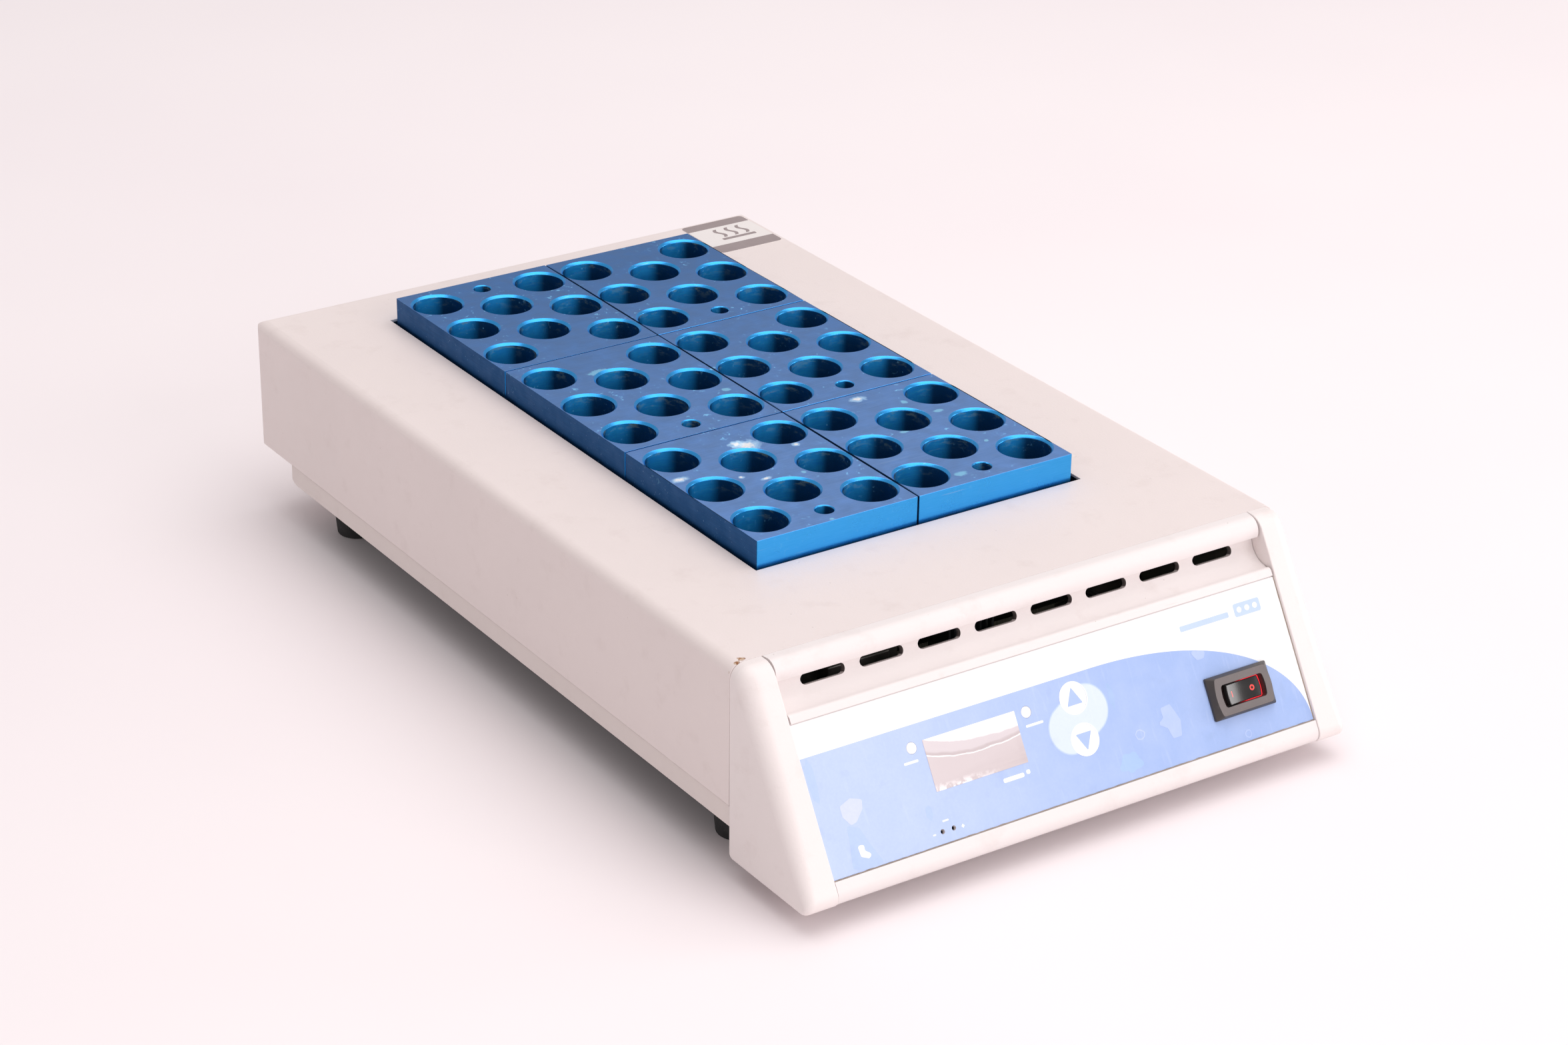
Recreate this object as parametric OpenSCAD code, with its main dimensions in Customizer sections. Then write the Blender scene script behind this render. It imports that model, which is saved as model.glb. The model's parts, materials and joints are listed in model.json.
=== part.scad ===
// Dry block heater: six lift-out aluminium blocks in a heated well, painted housing, sloped control panel.
// X runs along the front, Y runs to the back, Z is up. Origin: centre of the footprint, on the bench.

/* [Housing] */
// Width of the housing over the two end caps
body_w = 254; // [252:1:258]
// Length of the cover from the front seam to its back face
cover_l = 381; // [380:1:386]
// Height of the cover's top face above the bench
cover_top = 89; // [88:0.5:92]
// Height of the cover's lower edge above the bench
cover_low = 31; // [30:0.5:32]
// Thickness of the cover and pan sheet
sheet = 1.2; // [1:0.1:1.5]
// Bend radius of the cover's long top edges
top_bend = 5; // [3:0.5:6]
// Height of the base pan's underside above the bench
pan_z = 22; // [21:0.5:23]
// Distance from the back face forward to the base pan's rear wall
pan_inset = 26; // [24:1:28]

/* [Front] */
// Slope of the control panel, measured from the bench
tilt = 59; // [57:0.5:61]
// Distance from the front seam forward to the foot of the control panel
panel_l = 47.7; // [47:0.1:49]
// Height of the nose's underside above the bench
nose_z = 9; // [8:0.5:10]
// Width of each end cap
cap_w = 13.6; // [12:0.1:15]
// Wall thickness of the bezel and the end caps
wall = 2.5; // [2:0.1:3]
// Number of vent slots in the bezel
slot_count = 8; // [4:1:8]
// Spacing of the vent slots
slot_pitch = 26.1; // [25:0.1:27]
// Length of a vent slot
slot_l = 19.5; // [15:0.5:21]
// Width of a vent slot
slot_w = 4.2; // [3:0.1:5]

/* [Blocks] */
// Spacing of the blocks from left to right
pitch_x = 75; // [74.8:0.1:75.2]
// Spacing of the blocks from front to back
pitch_y = 95.25; // [95:0.05:95.5]
// Height of a block
block_h = 50.8; // [49:0.1:52]
// Gap between neighbouring blocks
block_gap = 0.6; // [0.4:0.1:1]
// How far the blocks stand above the cover
block_proud = 11.2; // [10:0.1:12]
// Bore of a tube well
well_d = 21.3; // [20:0.1:22]
// Depth of a tube well
well_depth = 46.5; // [44:0.5:47]
// Spacing of the wells from column to column
well_x = 25.3; // [25:0.1:25.6]
// Spacing of the wells along a column
well_y = 31.8; // [31:0.1:32]
// Bore of the thermometer hole
probe_hole_d = 7.5; // [6:0.1:8]

/* [Controls] */
// Width of the display window
window_w = 41.5; // [40:0.5:43]
// Height of the display window
window_h = 19.3; // [18:0.1:20]
// Diameter of an up or down key
key_d = 11.7; // [11:0.1:12]
// Travel of an up or down key
key_travel = 0.6; // [0.4:0.1:0.8]
// Width of the power switch frame
switch_w = 30; // [29:0.5:31]
// Height of the power switch frame
switch_h = 17; // [16:0.5:18]
// Tilt of the rocker away from level, each way
rocker_tilt = 9; // [7:0.5:10]

/* [Hidden] */
$fn = 64;
eps = 0.01;

// Lengthways layout: the footprint is centred, from the nose to the inlet's flange.
flange_t = 2;
panel_z = 19.2;
cap_h = 1.3;
foot_r = 4.5;
brow_r = 8;
nose_l = panel_l + foot_r - run_back(nose_z + foot_r, cap_h - foot_r);
seam_y = nose_l - (nose_l + cover_l + flange_t) / 2;
back_y = seam_y + cover_l;
pan_back_y = back_y - pan_inset;
half_w = body_w / 2;
bezel_half = half_w - cap_w;

// Control panel frame: x across, y up the slope, z out of the panel. Its origin is the overlay's foot.
panel_y = seam_y - panel_l;
film_t = 0.3;
bed_h = -film_t - 0.02;
film_top = 57.4;
film_low = -0.4;
film_w = 2 * bezel_half - 0.8;
window_x = -40.35;
window_s = 28.35;
leds = [[-66.5, 36.6], [-14.3, 36.4]];
led_d = 4.3;
key_x = 7.7;
key_s = [36.0, 19.9];
trimmer_x = [-63.4, -58.4];
trimmer_s = 4.1;
pinhole_d = 1.9;
switch_x = 82.3;
switch_s = 19.05;
switch_proud = 3.5;
switch_cut = [27.2, 13.2];
switch_hole = [19.9, 8.7];
rocker_r = 9.65;
rocker_pivot = -1;
rocker_pin_r = 0.9;
// Vent channel: an arc behind the lip; the slots run through it, below its level.
channel_y = -13.6;
channel_z = -8.4;
channel_r = 9.5;
slot_angle = 21.3;
slot_mid = 1.5;
board_h = -12.1;
board_t = 1.6;
parts_h = board_h + board_t;
plunger_h = 3.2;

// Blocks and the well around them.
set_x = -1.2;
block_front = seam_y + 60;
block_w = pitch_x - block_gap;
block_l = pitch_y - block_gap;
block_z = cover_top + block_proud - block_h;
well_r = well_d / 2;
rim = 1;
cut_w = 154.4;
cut_front = seam_y + 58.7;
cut_l = 290.5;
cut_mid = cut_front + cut_l / 2;
liner_t = 1;
liner_play = 1;
plate_t = 10;
mat_t = 2;
plate_z = block_z - plate_t;
floor_z = pan_z + sheet;
pillar_d = 10;
pillar_x = 62;
pillar_rows = [-120, 0, 120];
probe_x = 20;
probe_d = 4;
cutout_at = [-30, -80];

// Pan, feet, screws, boards and inlet.
pan_top = cover_low + 34;
flange_z = cover_low + sheet + 0.1;
tongue_x = 120;
screw_hole_d = 3.4;
foot_hole_d = 4.4;
inlet_w = 28;
inlet_h = 33;
inlet_depth = 24;
drawer = [20.8, 24, 8];
drawer_z = -9.7;
bottom_t = 0.8;
foot_x = 104;
foot_seat = 9;
foot_y = [seam_y + 28, pan_back_y - 20];
power_mid = [-25, seam_y + 27];
power_size = [150, 40];
power_z = floor_z + 6;
inlet_x = 85;
inlet_z = 59;

// Points along an arc, from angle a0 to a1.
function arc(c, r, a0, a1, n = 8) =
    [for (i = [0 : n]) c + r * [cos(a0 + (a1 - a0) * i / n), sin(a0 + (a1 - a0) * i / n)]];
// A panel point, given up the slope and out of the panel, in the lengthways plane.
function slope(s, h) = [panel_y + s * cos(tilt) - h * sin(tilt), panel_z + s * sin(tilt) + h * cos(tilt)];
// How far up the slope a line at depth h reaches height z.
function slope_at(z, h) = (z - panel_z - h * cos(tilt)) / sin(tilt);
// The point at height z on the line at depth h, and how far it lies behind the panel's foot.
function slope_point(z, h) = slope(slope_at(z, h), h);
function run_back(z, h) = slope_at(z, h) * cos(tilt) - h * sin(tilt);

// Extrudes a lengthways outline (y, z) across the width, centred on x.
module across(w, x = 0) {
    translate([x, 0, 0]) rotate([90, 0, 90]) translate([0, 0, -w / 2]) linear_extrude(w) children();
}
// Extrudes a crosswise outline (x, z) from y0 to y1.
module along(y0, y1) {
    translate([0, y1, 0]) rotate([90, 0, 0]) linear_extrude(y1 - y0) children();
}
// Places children in the control panel's frame.
module on_panel(x = 0, s = 0, h = 0) {
    translate([0, panel_y, panel_z]) rotate([tilt, 0, 0]) translate([x, s, h]) children();
}
// A rectangle with round corners, centred.
module round_rect(w, l, r) {
    square([w - 2 * r, l], center = true);
    square([w, l - 2 * r], center = true);
    for (x = [-1, 1], y = [-1, 1]) translate([x * (w / 2 - r), y * (l / 2 - r)]) circle(r);
}
// A rectangle from (x0, y0) to (x1, y1). c says which corners are rounded to radius r, in the order
// low left, low right, top left, top right.
module corner_rect(x0, y0, x1, y1, r, c) {
    difference() {
        translate([x0, y0]) square([x1 - x0, y1 - y0]);
        if (c[0]) corner_bite([x0, y0], [1, 1], r);
        if (c[1]) corner_bite([x1, y0], [-1, 1], r);
        if (c[2]) corner_bite([x0, y1], [1, -1], r);
        if (c[3]) corner_bite([x1, y1], [-1, -1], r);
    }
}
// What a round corner leaves out; d points into the rectangle.
module corner_bite(p, d, r) {
    difference() {
        translate(p - [d[0] > 0 ? eps : r, d[1] > 0 ? eps : r]) square(r + eps);
        translate(p + r * d) circle(r);
    }
}
function unit(v) = v / norm(v);
// Direction of a route at point i: the mean of the runs on either side.
function heading(p, i) =
    let (last = len(p) - 1)
    unit(p[min(i + 1, last)] - p[min(i, last - 1)]) + unit(p[max(i, 1)] - p[max(i - 1, 0)]);
// A ring of n points of radius r about point c, square to direction d.
function ring(c, d, r, n) =
    let (w = unit(d))
    let (u = unit(cross(w, abs(w[2]) > 0.9 ? [1, 0, 0] : [0, 0, 1])))
    let (v = cross(w, u))
    [for (k = [0 : n - 1]) c + r * (cos(360 * k / n) * u + sin(360 * k / n) * v)];
// An insulated wire swept along a route.
module wire(p, r, n = 8) {
    rings = len(p);
    polyhedron(
        points = [for (i = [0 : rings - 1]) each ring(p[i], heading(p, i), r, n)],
        faces = concat([[for (k = [0 : n - 1]) k]],
            [for (i = [0 : rings - 2], k = [0 : n - 1])
                [i * n + k, (i + 1) * n + k, (i + 1) * n + (k + 1) % n, i * n + (k + 1) % n]],
            [[for (k = [n - 1 : -1 : 0]) (rings - 1) * n + k]]));
}
// A pan-head screw pointing up, with its head below z = 0 and a cross recess.
module screw(d, length) {
    difference() {
        union() {
            translate([0, 0, -0.6 * d]) cylinder(r = d, h = 0.6 * d);
            translate([0, 0, -eps]) cylinder(d = d, h = length);
        }
        for (a = [0, 90]) rotate(a) translate([0, 0, -0.45 * d])
            cube([1.1 * d, 0.2 * d, 0.5 * d], center = true);
    }
}

// Where the feet and the housing's screws stand.
module foot_spots() {
    for (x = [-1, 1], y = foot_y) translate([x * foot_x, y]) children();
}
module tongue_spots() {
    for (x = [-1, 1]) translate([x * tongue_x, seam_y - 8]) children();
}
module bezel_screw_spots() {
    for (x = [-80, 0, 80]) translate([x, seam_y + 5]) children();
}
module rear_screw_spots() {
    for (x = [-100, -35, 35, 110]) translate([x, back_y - 10]) children();
}

// ---- housing ----

// The cover's solid outer form, shrunk by t on every side but the front.
module cover_form(t) {
    front = seam_y - (t > 0 ? 1 : 0);
    intersection() {
        along(front, back_y - t)
            corner_rect(t - half_w, cover_low + t, half_w - t, cover_top - t, top_bend - t, [0, 0, 1, 1]);
        across(body_w)
            corner_rect(front, cover_low, back_y - t, cover_top - t, top_bend - t, [0, 0, 0, 1]);
        translate([0, 0, cover_low]) linear_extrude(cover_top)
            corner_rect(t - half_w, front, half_w - t, back_y - t, 4 - t, [0, 0, 1, 1]);
    }
}

module top_cover() {
    color([0.9, 0.87, 0.86]) difference() {
        cover_form(0);
        cover_form(sheet);
        // open underneath, apart from the flange below the rear overhang
        translate([sheet - half_w, seam_y - 1, cover_low - 1])
            cube([body_w - 2 * sheet, pan_back_y - seam_y + 1.5, sheet + 1.1]);
        translate([-cut_w / 2, cut_front, cover_top - 5]) cube([cut_w, cut_l, 10]);
        translate([inlet_x - inlet_w / 2 - 0.2, back_y - 4, inlet_z - inlet_h / 2 - 0.2])
            cube([inlet_w + 0.4, 8, inlet_h + 0.4]);
        rear_screw_spots() translate([0, 0, cover_low - 1]) cylinder(d = screw_hole_d, h = 4);
    }
}

// The pan's solid outer form between two heights, inset by t; its rear lower edge is round.
module pan_form(z0, z1, t) {
    intersection() {
        across(body_w - 2 * t)
            corner_rect(seam_y + 0.4, z0, pan_back_y - t, z1, 7, [0, z0 < floor_z, 0, 0]);
        translate([0, 0, z0]) linear_extrude(z1 - z0)
            corner_rect(t - half_w, seam_y, half_w - t, pan_back_y - t, 3, [0, 0, 1, 1]);
    }
}

module base_pan() {
    band = 0.6;
    shadow_gap = 0.6;
    inner = sheet + 0.3;
    room = inner + sheet;
    color([0.88, 0.85, 0.84]) difference() {
        union() {
            pan_form(pan_z, cover_low - shadow_gap, band);
            pan_form(cover_low - 3, pan_top, inner);
            // the rear wall's top flange lies on the cover's rear flange
            translate([8 - half_w, pan_back_y - room, flange_z])
                cube([body_w - 16, pan_inset + room - 2, sheet]);
            for (x = [-1, 1]) translate([x * tongue_x - 4, seam_y - 14, pan_z]) cube([8, 16, sheet]);
        }
        translate([room - half_w, seam_y - 1, floor_z])
            cube([body_w - 2 * room, pan_back_y - seam_y - room + 1, pan_top]);
        translate([-half_w, pan_back_y - 10, flange_z + sheet]) cube([body_w, 40, pan_top]);
        foot_spots() translate([0, 0, pan_z - 1]) cylinder(d = foot_hole_d, h = 5);
        tongue_spots() translate([0, 0, pan_z - 1]) cylinder(d = screw_hole_d, h = 5);
        bezel_screw_spots() translate([0, 0, pan_z - 1]) cylinder(d = screw_hole_d, h = 5);
        rear_screw_spots() translate([0, 0, cover_low]) cylinder(d = screw_hole_d, h = 5);
    }
}

module bottom_plate() {
    color([0.25, 0.25, 0.26]) translate([0, 0, pan_z - bottom_t]) difference() {
        translate([0, (seam_y + 16 + pan_back_y - 4) / 2]) linear_extrude(bottom_t)
            round_rect(body_w - 2.8, pan_back_y - seam_y - 20, 4);
        foot_spots() translate([0, 0, -1]) cylinder(d = foot_hole_d, h = 3);
    }
}

// ---- front: end caps, bezel and overlay ----

// Side outline of an end cap, h out of the control panel, pulled in by t.
module cap_outline(t) {
    top = cover_top - t;
    low = nose_z + t;
    back = seam_y - 0.2 + (t > 0 ? 2 : 0);
    h = cap_h - t;
    brow = slope_point(top - brow_r, h - brow_r);
    foot = slope_point(low + foot_r, h - foot_r);
    polygon(concat([[back, top]], arc(brow, brow_r, 90, 90 + tilt), arc(foot, foot_r, 90 + tilt, 270),
        [[back, low]]));
}
// The right end cap's form, pulled in by t on every side but the back.
module cap_form(t) {
    low = bezel_half + t;
    high = half_w - t;
    intersection() {
        across(high - low, (high + low) / 2) cap_outline(t);
        along(seam_y - 2 * panel_l, seam_y + 5)
            corner_rect(low, nose_z, high, cover_top - t, 6 - t, [0, 0, 0, 1]);
        on_panel() along(-80, 120) corner_rect(low, -80, high, cap_h - t, 7 - t, [0, 0, 0, 1]);
    }
}
module end_cap() {
    color([0.93, 0.9, 0.88]) difference() {
        union() {
            difference() {
                cap_form(0);
                cap_form(wall);
            }
            translate([tongue_x, seam_y - 8, nose_z + 1]) cylinder(d = 8, h = pan_z - nose_z - 1.1);
        }
        translate([tongue_x, seam_y - 8, nose_z - 1]) cylinder(d = screw_hole_d, h = 20);
        translate([tongue_x, seam_y - 8, nose_z - 1]) cylinder(d = 7, h = 5);
    }
}
module right_end_cap() { end_cap(); }
module left_end_cap() { mirror([1, 0, 0]) end_cap(); }

// The bezel's section: lip, vent channel, ridge, panel bed, foot and the flange below the pan.
module bezel_section() {
    lip = [seam_y - 3.1, cover_top - 5.5];
    channel = [seam_y + channel_y, cover_top + channel_z];
    ridge = slope(59.6, -1.2);
    foot = slope_point(nose_z + foot_r, 0.9 - foot_r);
    rear = seam_y - 1;
    polygon(concat(
        [[seam_y - 0.2, cover_top]],
        arc(lip, 5.5, 90, 200),
        arc(channel, channel_r, 0, -95, 10),
        arc(ridge, 2, 75, 90 + tilt, 5),
        [slope(57.8, 0.8), slope(57.8, bed_h), slope(-0.8, bed_h), slope(-0.8, 0.9)],
        arc(foot, foot_r, 90 + tilt, 270),
        [[rear, nose_z], [rear, pan_z - 2.6], [seam_y + 10, pan_z - 2.6], [seam_y + 10, pan_z - 0.1],
            [rear - wall, pan_z - 0.1], [rear - wall, nose_z + wall]],
        arc(foot, foot_r - wall, 270, 90 + tilt, 4),
        [slope(56.5, -film_t - wall)],
        arc(channel, channel_r + wall, -100, 5, 10),
        [[seam_y - 1.7, cover_top - 5.8]],
        arc(lip, 3, 180, 90, 5),
        [[seam_y - 0.2, cover_top - wall], [seam_y + 7, cover_top - wall],
            [seam_y + 7, cover_top - sheet - 0.1], [seam_y - 0.2, cover_top - sheet - 0.1]]));
}
// One hole through the panel at (x, s), from depth h0 to h1.
module panel_hole(x, s, h0 = -6, h1 = 6) {
    on_panel(x, s, h0) linear_extrude(h1 - h0) children();
}
module front_bezel() {
    color([0.95, 0.91, 0.89]) difference() {
        across(2 * bezel_half - 0.4) bezel_section();
        for (i = [0 : slot_count - 1]) {
            x = slot_mid + (i - (slot_count - 1) / 2) * slot_pitch;
            translate([x, seam_y + channel_y, cover_top + channel_z]) rotate([-slot_angle, 0, 0])
                along(channel_r - 2, channel_r + 4) round_rect(slot_l, slot_w, slot_w / 2 - eps);
        }
        panel_hole(window_x, window_s) square([window_w + 1, window_h + 1], center = true);
        for (p = leds) panel_hole(p[0], p[1]) circle(d = led_d + 0.6);
        for (s = key_s) panel_hole(key_x, s) circle(d = key_d + 0.8);
        for (x = trimmer_x) panel_hole(x, trimmer_s) circle(d = pinhole_d);
        panel_hole(switch_x, switch_s) square(switch_cut, center = true);
        bezel_screw_spots() translate([0, 0, pan_z - 4]) cylinder(d = screw_hole_d, h = 5);
    }
}

// Printed film over the panel, with its holes.
module overlay_film() {
    color([0.62, 0.72, 0.95]) on_panel(0, 0, -film_t) linear_extrude(film_t) difference() {
        translate([-film_w / 2, film_low]) square([film_w, film_top - film_low]);
        translate([window_x, window_s]) square([window_w, window_h], center = true);
        for (p = leds) translate(p) circle(d = led_d + 0.2);
        for (s = key_s) translate([key_x, s]) circle(d = key_d + 0.4);
        for (x = trimmer_x) translate([x, trimmer_s]) circle(d = pinhole_d);
        translate([switch_x, switch_s]) square(switch_cut, center = true);
    }
}
module display_window() {
    color([0.85, 0.8, 0.78]) on_panel(window_x, window_s, -film_t - 1.2)
        linear_extrude(1.2) square([window_w + 0.8, window_h + 0.8], center = true);
}

// ---- controls ----

module display_module() {
    color([0.12, 0.12, 0.13]) on_panel(window_x, window_s, parts_h)
        linear_extrude(7.5) square([46, 24], center = true);
}
module led(p) {
    color([0.96, 0.95, 0.92]) on_panel(p[0], p[1], parts_h) {
        cylinder(d = led_d, h = -parts_h);
        cylinder(d = led_d + 1, h = 1);
    }
}
module actual_led() { led(leds[0]); }
module setpoint_led() { led(leds[1]); }

// A round key flush with the film, with a stem down to its switch.
module key(s) {
    low = parts_h + plunger_h + key_travel + 0.1;
    color([0.9, 0.93, 0.98]) on_panel(key_x, s) {
        translate([0, 0, -1.6]) cylinder(d = key_d, h = 1.7);
        translate([0, 0, low]) cylinder(d = 4, h = -1.5 - low);
    }
}
module up_button() { key(key_s[0]); }
module down_button() { key(key_s[1]); }
module key_switches() {
    color([0.15, 0.15, 0.16]) for (s = key_s) on_panel(key_x, s, parts_h) {
        translate([-3, -3, 0]) cube([6, 6, 2.6]);
        cylinder(d = 3.5, h = plunger_h);
    }
}
module control_board() {
    color([0.1, 0.42, 0.2]) on_panel(0, 0, board_h) linear_extrude(board_t) difference() {
        translate([-78, 0.8]) square([112, 46]);
        for (x = [-74, 30], s = [4.5, 43]) translate([x, s]) circle(d = 3.2);
    }
}

// Slotted screws turned through the pinholes, each in its housing.
module trimmer_housings() {
    color([0.15, 0.3, 0.6]) for (x = trimmer_x) on_panel(x, trimmer_s, parts_h) difference() {
        translate([-2.4, -2.9, 0]) cube([4.8, 6.4, 4]);
        translate([0, 0, 1.5]) cylinder(r = 1.6, h = 4);
    }
}
module trimmer(x) {
    color([0.8, 0.7, 0.35]) on_panel(x, trimmer_s, parts_h + 1.6) difference() {
        cylinder(r = 1.5, h = 3);
        translate([-2, -0.3, 2.2]) cube([4, 0.6, 2]);
    }
}
module low_trimmer() { trimmer(trimmer_x[0]); }
module high_trimmer() { trimmer(trimmer_x[1]); }

// Half outline, mirrored: as wide as w each way up to height low, then falling in by inset at the face.
module bevelled_side(w, inset, low) {
    top = w - inset;
    polygon([[-w, -1], [w, -1], [w, low], [top, switch_proud], [-top, switch_proud], [-w, low]]);
}
// Guard frame of the power switch, bevelled to a smaller face.
module switch_frame() {
    color([0.16, 0.15, 0.15]) on_panel(switch_x, switch_s) difference() {
        intersection() {
            linear_extrude(switch_proud) round_rect(switch_w, switch_h, 0.6);
            along(-switch_h, switch_h) bevelled_side(switch_w / 2, 2.4, 1);
            across(switch_w) bevelled_side(switch_h / 2, 1, 1.4);
        }
        translate([0, 0, -1]) linear_extrude(9) square(switch_hole, center = true);
    }
}
module switch_body() {
    color([0.12, 0.12, 0.12]) on_panel(switch_x, switch_s) difference() {
        union() {
            translate([-13.4, -6.4, -18]) cube([26.8, 12.8, 18]);
            for (x = [-1, 0, 1]) translate([7 * x - 0.4, -2.4, -23]) cube([0.8, 4.8, 6]);
        }
        translate([0, 0, -8]) linear_extrude(9) square(switch_hole, center = true);
        translate([0, 0, rocker_pivot]) rotate([90, 0, 0])
            cylinder(r = rocker_pin_r + 0.1, h = 11.4, center = true);
    }
}
// Places children in the rocker's frame, with its O end pressed in.
module on_rocker() {
    on_panel(switch_x, switch_s, rocker_pivot) rotate([0, rocker_tilt, 0]) children();
}
// Round-ended rocker slice between two heights above the pivot.
module rocker_slice(r, w, z0, z1) {
    intersection() {
        rotate([90, 0, 0]) cylinder(r = r, h = w, center = true);
        translate([-r, -w / 2, z0]) cube([2 * r, w, z1 - z0]);
    }
}
module switch_rocker() {
    color([0.1, 0.1, 0.1]) on_rocker() difference() {
        rocker_slice(9.2, 7.7, 1.6, 3.8);
        translate([0, 0, 43.2]) rotate([90, 0, 0]) cylinder(r = 40.5, h = 12, center = true, $fn = 240);
    }
}
module rocker_lens() {
    color([0.8, 0.08, 0.06]) on_rocker() {
        rocker_slice(rocker_r, 8.3, -3, 1.6);
        rotate([90, 0, 0]) cylinder(r = rocker_pin_r, h = 10.8, center = true);
    }
}

// ---- blocks ----

// One aluminium block: eight stepped wells in three columns and a thermometer hole near its front end.
module heat_block(col, row, turned = false) {
    color([0.1, 0.36, 0.75])
        translate([set_x + (col - 0.5) * pitch_x, block_front + (row + 0.5) * pitch_y, block_z])
            rotate(turned ? 180 : 0) difference() {
                linear_extrude(block_h) round_rect(block_w, block_l, 1.5);
                for (x = [-1, 1], y = [-1, 0, 1]) well(x * well_x, y * well_y);
                for (y = [-0.5, 0.5]) well(0, y * well_y);
                translate([0, 10 - pitch_y / 2, 0]) {
                    translate([0, 0, 6.8]) cylinder(d = probe_hole_d, h = block_h);
                    translate([0, 0, block_h - 0.4])
                        cylinder(d1 = probe_hole_d, d2 = probe_hole_d + 1, h = 0.5);
                }
            }
}
module well(x, y) {
    low = block_h - well_depth + well_r;
    translate([x, y, 0]) {
        translate([0, 0, low]) sphere(well_r);
        translate([0, 0, low]) cylinder(r = well_r, h = block_h);
        translate([0, 0, block_h - rim]) cylinder(r1 = well_r, r2 = well_r + rim + 0.1, h = rim + 0.1);
    }
}
module block_front_left() { heat_block(0, 0); }
module block_front_right() { heat_block(1, 0); }
module block_middle_left() { heat_block(0, 1); }
module block_middle_right() { heat_block(1, 1); }
module block_back_left() { heat_block(0, 2, true); }
module block_back_right() { heat_block(1, 2); }

// Sheet liner between the cover and the heater plate.
module well_liner() {
    w = cut_w + 2 * liner_play;
    l = cut_l + 2 * liner_play;
    low = plate_z - mat_t;
    top = cover_top - sheet - 0.1;
    color([0.7, 0.7, 0.72]) translate([0, cut_mid, 0]) difference() {
        union() {
            translate([0, 0, low]) linear_extrude(top - low)
                square([w + 2 * liner_t, l + 2 * liner_t], center = true);
            translate([0, 0, top - liner_t]) linear_extrude(liner_t)
                square([w + 12, l + 12], center = true);
        }
        translate([0, 0, low - 1]) linear_extrude(top) square([w, l], center = true);
        translate([probe_x, -l / 2, plate_z + plate_t / 2]) rotate([90, 0, 0])
            cylinder(d = probe_d + 1, h = 6, center = true);
    }
}
module heater_plate() {
    w = cut_w + 2 * liner_play - 1.6;
    l = cut_l + 2 * liner_play - 1.6;
    color([0.75, 0.76, 0.78]) translate([0, cut_mid, plate_z]) difference() {
        linear_extrude(plate_t) square([w, l], center = true);
        translate([probe_x, -l / 2 + 43, plate_t / 2]) rotate([90, 0, 0])
            cylinder(d = probe_d + 0.2, h = 50);
    }
}
module heater_mat() {
    color([0.75, 0.3, 0.12]) translate([0, cut_mid, plate_z - mat_t]) linear_extrude(mat_t) difference() {
        square([cut_w - 4, cut_l - 4], center = true);
        pillar_spots() circle(d = pillar_d + 2);
    }
}
module pillar_spots() {
    for (x = [-1, 1], y = pillar_rows) translate([x * pillar_x, y]) children();
}
module insulation_pad() {
    color([0.93, 0.92, 0.86]) translate([0, cut_mid + 4, floor_z]) difference() {
        linear_extrude(plate_z - mat_t - floor_z) difference() {
            square([cut_w - 4, cut_l - 12], center = true);
            translate([0, -4]) pillar_spots() circle(d = pillar_d + 2);
        }
        translate([cutout_at[0], cutout_at[1] - 4, 4]) cylinder(d = 20, h = 20);
    }
}
module plate_pillars() {
    color([0.9, 0.9, 0.85]) translate([0, cut_mid, floor_z]) pillar_spots()
        cylinder(d = pillar_d, h = plate_z - floor_z);
}
module temperature_probe() {
    color([0.72, 0.72, 0.75]) translate([probe_x, cut_front - 8, plate_z + plate_t / 2])
        rotate([-90, 0, 0]) {
            cylinder(d = probe_d, h = 44);
            cylinder(d = probe_d + 2, h = 5);
        }
}
module thermal_cutout() {
    color([0.2, 0.2, 0.22]) translate([cutout_at[0], cut_mid + cutout_at[1], floor_z + 5]) {
        cylinder(d = 16, h = plate_z - mat_t - floor_z - 5);
        translate([-5, -8.5, -0.6]) cube([2, 17, 1.2]);
        translate([3, -8.5, -0.6]) cube([2, 17, 1.2]);
    }
}

// ---- electronics ----

module power_board() {
    color([0.1, 0.42, 0.2]) translate([power_mid[0], power_mid[1], power_z])
        linear_extrude(board_t) difference() {
            square(power_size, center = true);
            power_corners() circle(d = 3);
        }
}
module power_corners() {
    at = power_size / 2 - [4, 4];
    for (x = [-1, 1], y = [-1, 1]) translate([x * at[0], y * at[1]]) children();
}
module board_pillars() {
    color([0.8, 0.65, 0.3]) translate([power_mid[0], power_mid[1], floor_z]) power_corners() {
        cylinder(d = 6, h = power_z - floor_z);
        cylinder(d = 2.8, h = power_z - floor_z + 4);
    }
}
module transformer() {
    color([0.55, 0.53, 0.52]) translate([-64, power_mid[1] - 2, power_z + board_t]) {
        translate([-22, -10, 0]) cube([44, 20, 46]);
        translate([-14, -16, 7]) cube([28, 32, 32]);
    }
}
module heat_sink() {
    color([0.7, 0.7, 0.72]) translate([-9, power_mid[1] - 12, power_z + board_t]) {
        translate([-11, 8, 0]) cube([22, 3, 50]);
        for (i = [0 : 7]) translate([-11 + i * 2.9, -2, 0]) cube([1.1, 10.5, 50]);
    }
}
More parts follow.
